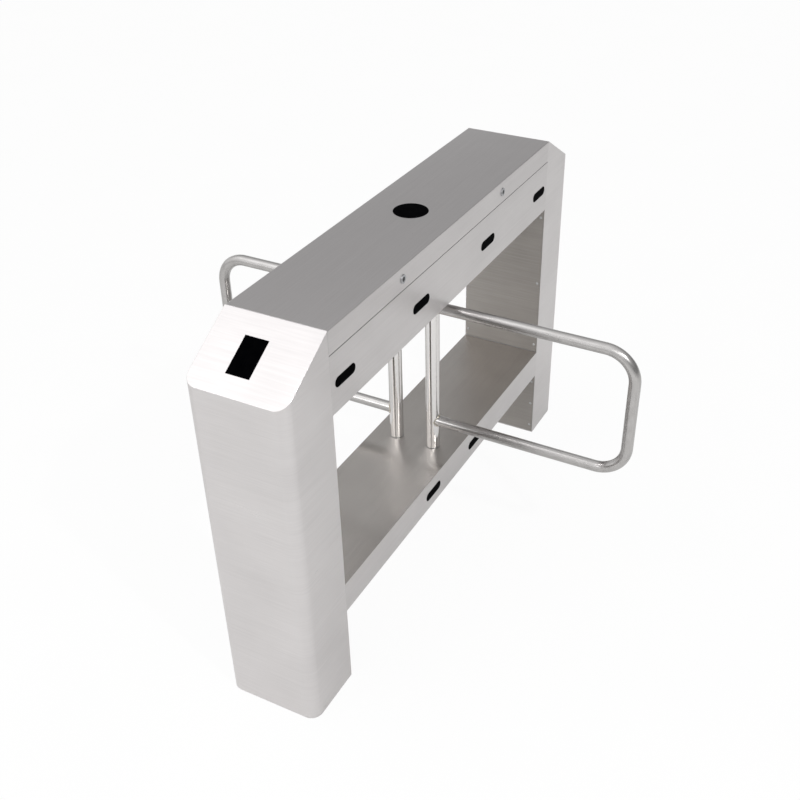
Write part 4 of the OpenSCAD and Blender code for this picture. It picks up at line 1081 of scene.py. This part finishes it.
def faded(tree, direction, aim, start, end, first, last):
    """Level that goes from first to last as a direction's reach along aim goes from start to end."""
    reach = add(tree, "ShaderNodeVectorMath", {0: direction, 1: aim}, operation="DOT_PRODUCT")
    ends = {"Value": reach.outputs["Value"], "From Min": start, "From Max": end}
    ends.update({"To Min": first, "To Max": last})
    return add(tree, "ShaderNodeMapRange", ends, interpolation_type="SMOOTHSTEP").outputs[0]


def hang_softbox(name, place, target, width, radiance):
    """Hangs a square softbox of a width and a radiance at its place, aimed at a target."""
    light = bpy.data.lights.new(name, "AREA")
    light.shape = "SQUARE"
    light.size = width
    light.energy = radiance * math.pi * width ** 2
    lamp = bpy.data.objects.new(name, light)
    facing = (Vector(place) - Vector(target)).to_track_quat("Z", "Y").to_matrix().to_4x4()
    lamp.matrix_world = Matrix.Translation(Vector(place)) @ facing
    scene.collection.objects.link(lamp)


# Light: a soft sky, three softboxes, and a small lamp that the posts and the shelf mirror as streaks
def studio_light():
    """Lights the object from a sky that is brighter above, towards the near end and low behind it."""
    low_level, zenith_rise, window_level, wall_level = 0.27, 0.72, 0.8, 0.7
    window_aim, wall_aim = (0.75, -0.66, 0), (0.88, 0.47, 0)
    world = bpy.data.worlds.new("studio_walls")
    scene.world = world
    world.use_nodes = True
    tree = world.node_tree
    tree.nodes.clear()
    direction = add(tree, "ShaderNodeTexCoord").outputs["Generated"]
    height = add(tree, "ShaderNodeSeparateXYZ", {0: direction}).outputs[2]
    above = add(tree, "ShaderNodeMath", {0: height, 1: 0.0}, operation="MAXIMUM").outputs[0]
    squared = add(tree, "ShaderNodeMath", {0: above, 1: 2.0}, operation="POWER").outputs[0]
    rise = {0: squared, 1: zenith_rise, 2: low_level}
    sky = add(tree, "ShaderNodeMath", rise, operation="MULTIPLY_ADD").outputs[0]
    window = faded(tree, direction, window_aim, -1.0, 0.2, window_level, 0.0)
    lit = add(tree, "ShaderNodeMath", {0: window, 1: sky}, operation="ADD").outputs[0]
    breadth = faded(tree, direction, wall_aim, 0.6, 0.95, 0.0, 1.0)
    wall = faded(tree, direction, UP, 0.05, 0.35, wall_level, 0.0)
    whole = {0: breadth, 1: wall, 2: lit}
    level = add(tree, "ShaderNodeMath", whole, operation="MULTIPLY_ADD").outputs[0]
    walls_lit = add(tree, "ShaderNodeBackground", {"Color": (1, 1, 1, 1), "Strength": level}).outputs[0]
    white = add(tree, "ShaderNodeBackground", {"Color": (1, 1, 1, 1), "Strength": 1.0}).outputs[0]
    seen = add(tree, "ShaderNodeLightPath").outputs["Is Camera Ray"]
    mix = add(tree, "ShaderNodeMixShader", {0: seen, 1: walls_lit, 2: white})
    add(tree, "ShaderNodeOutputWorld", {"Surface": mix.outputs[0]})

    for name, place, target, width, radiance in (
        ("overhead_softbox", (-1.2, 1.4, 3.0), (-0.65, 0, 0.95), 2.1, 0.45),
        ("near_end_softbox", (-2.6, 1.2, 1.6), (-1.4, 0.35, 0), 1.0, 2.8),
        ("key_lamp", (-1.77, -3.07, 3.87), (0, 0, 0.4), 0.17, 900),
        ("camera_side_softbox", (-2.84, -1.53, 3.07), (0, 0, 0.4), 1.4, 1.6),
    ):
        hang_softbox(name, place, target, width, radiance)


studio_floor()
studio_light()
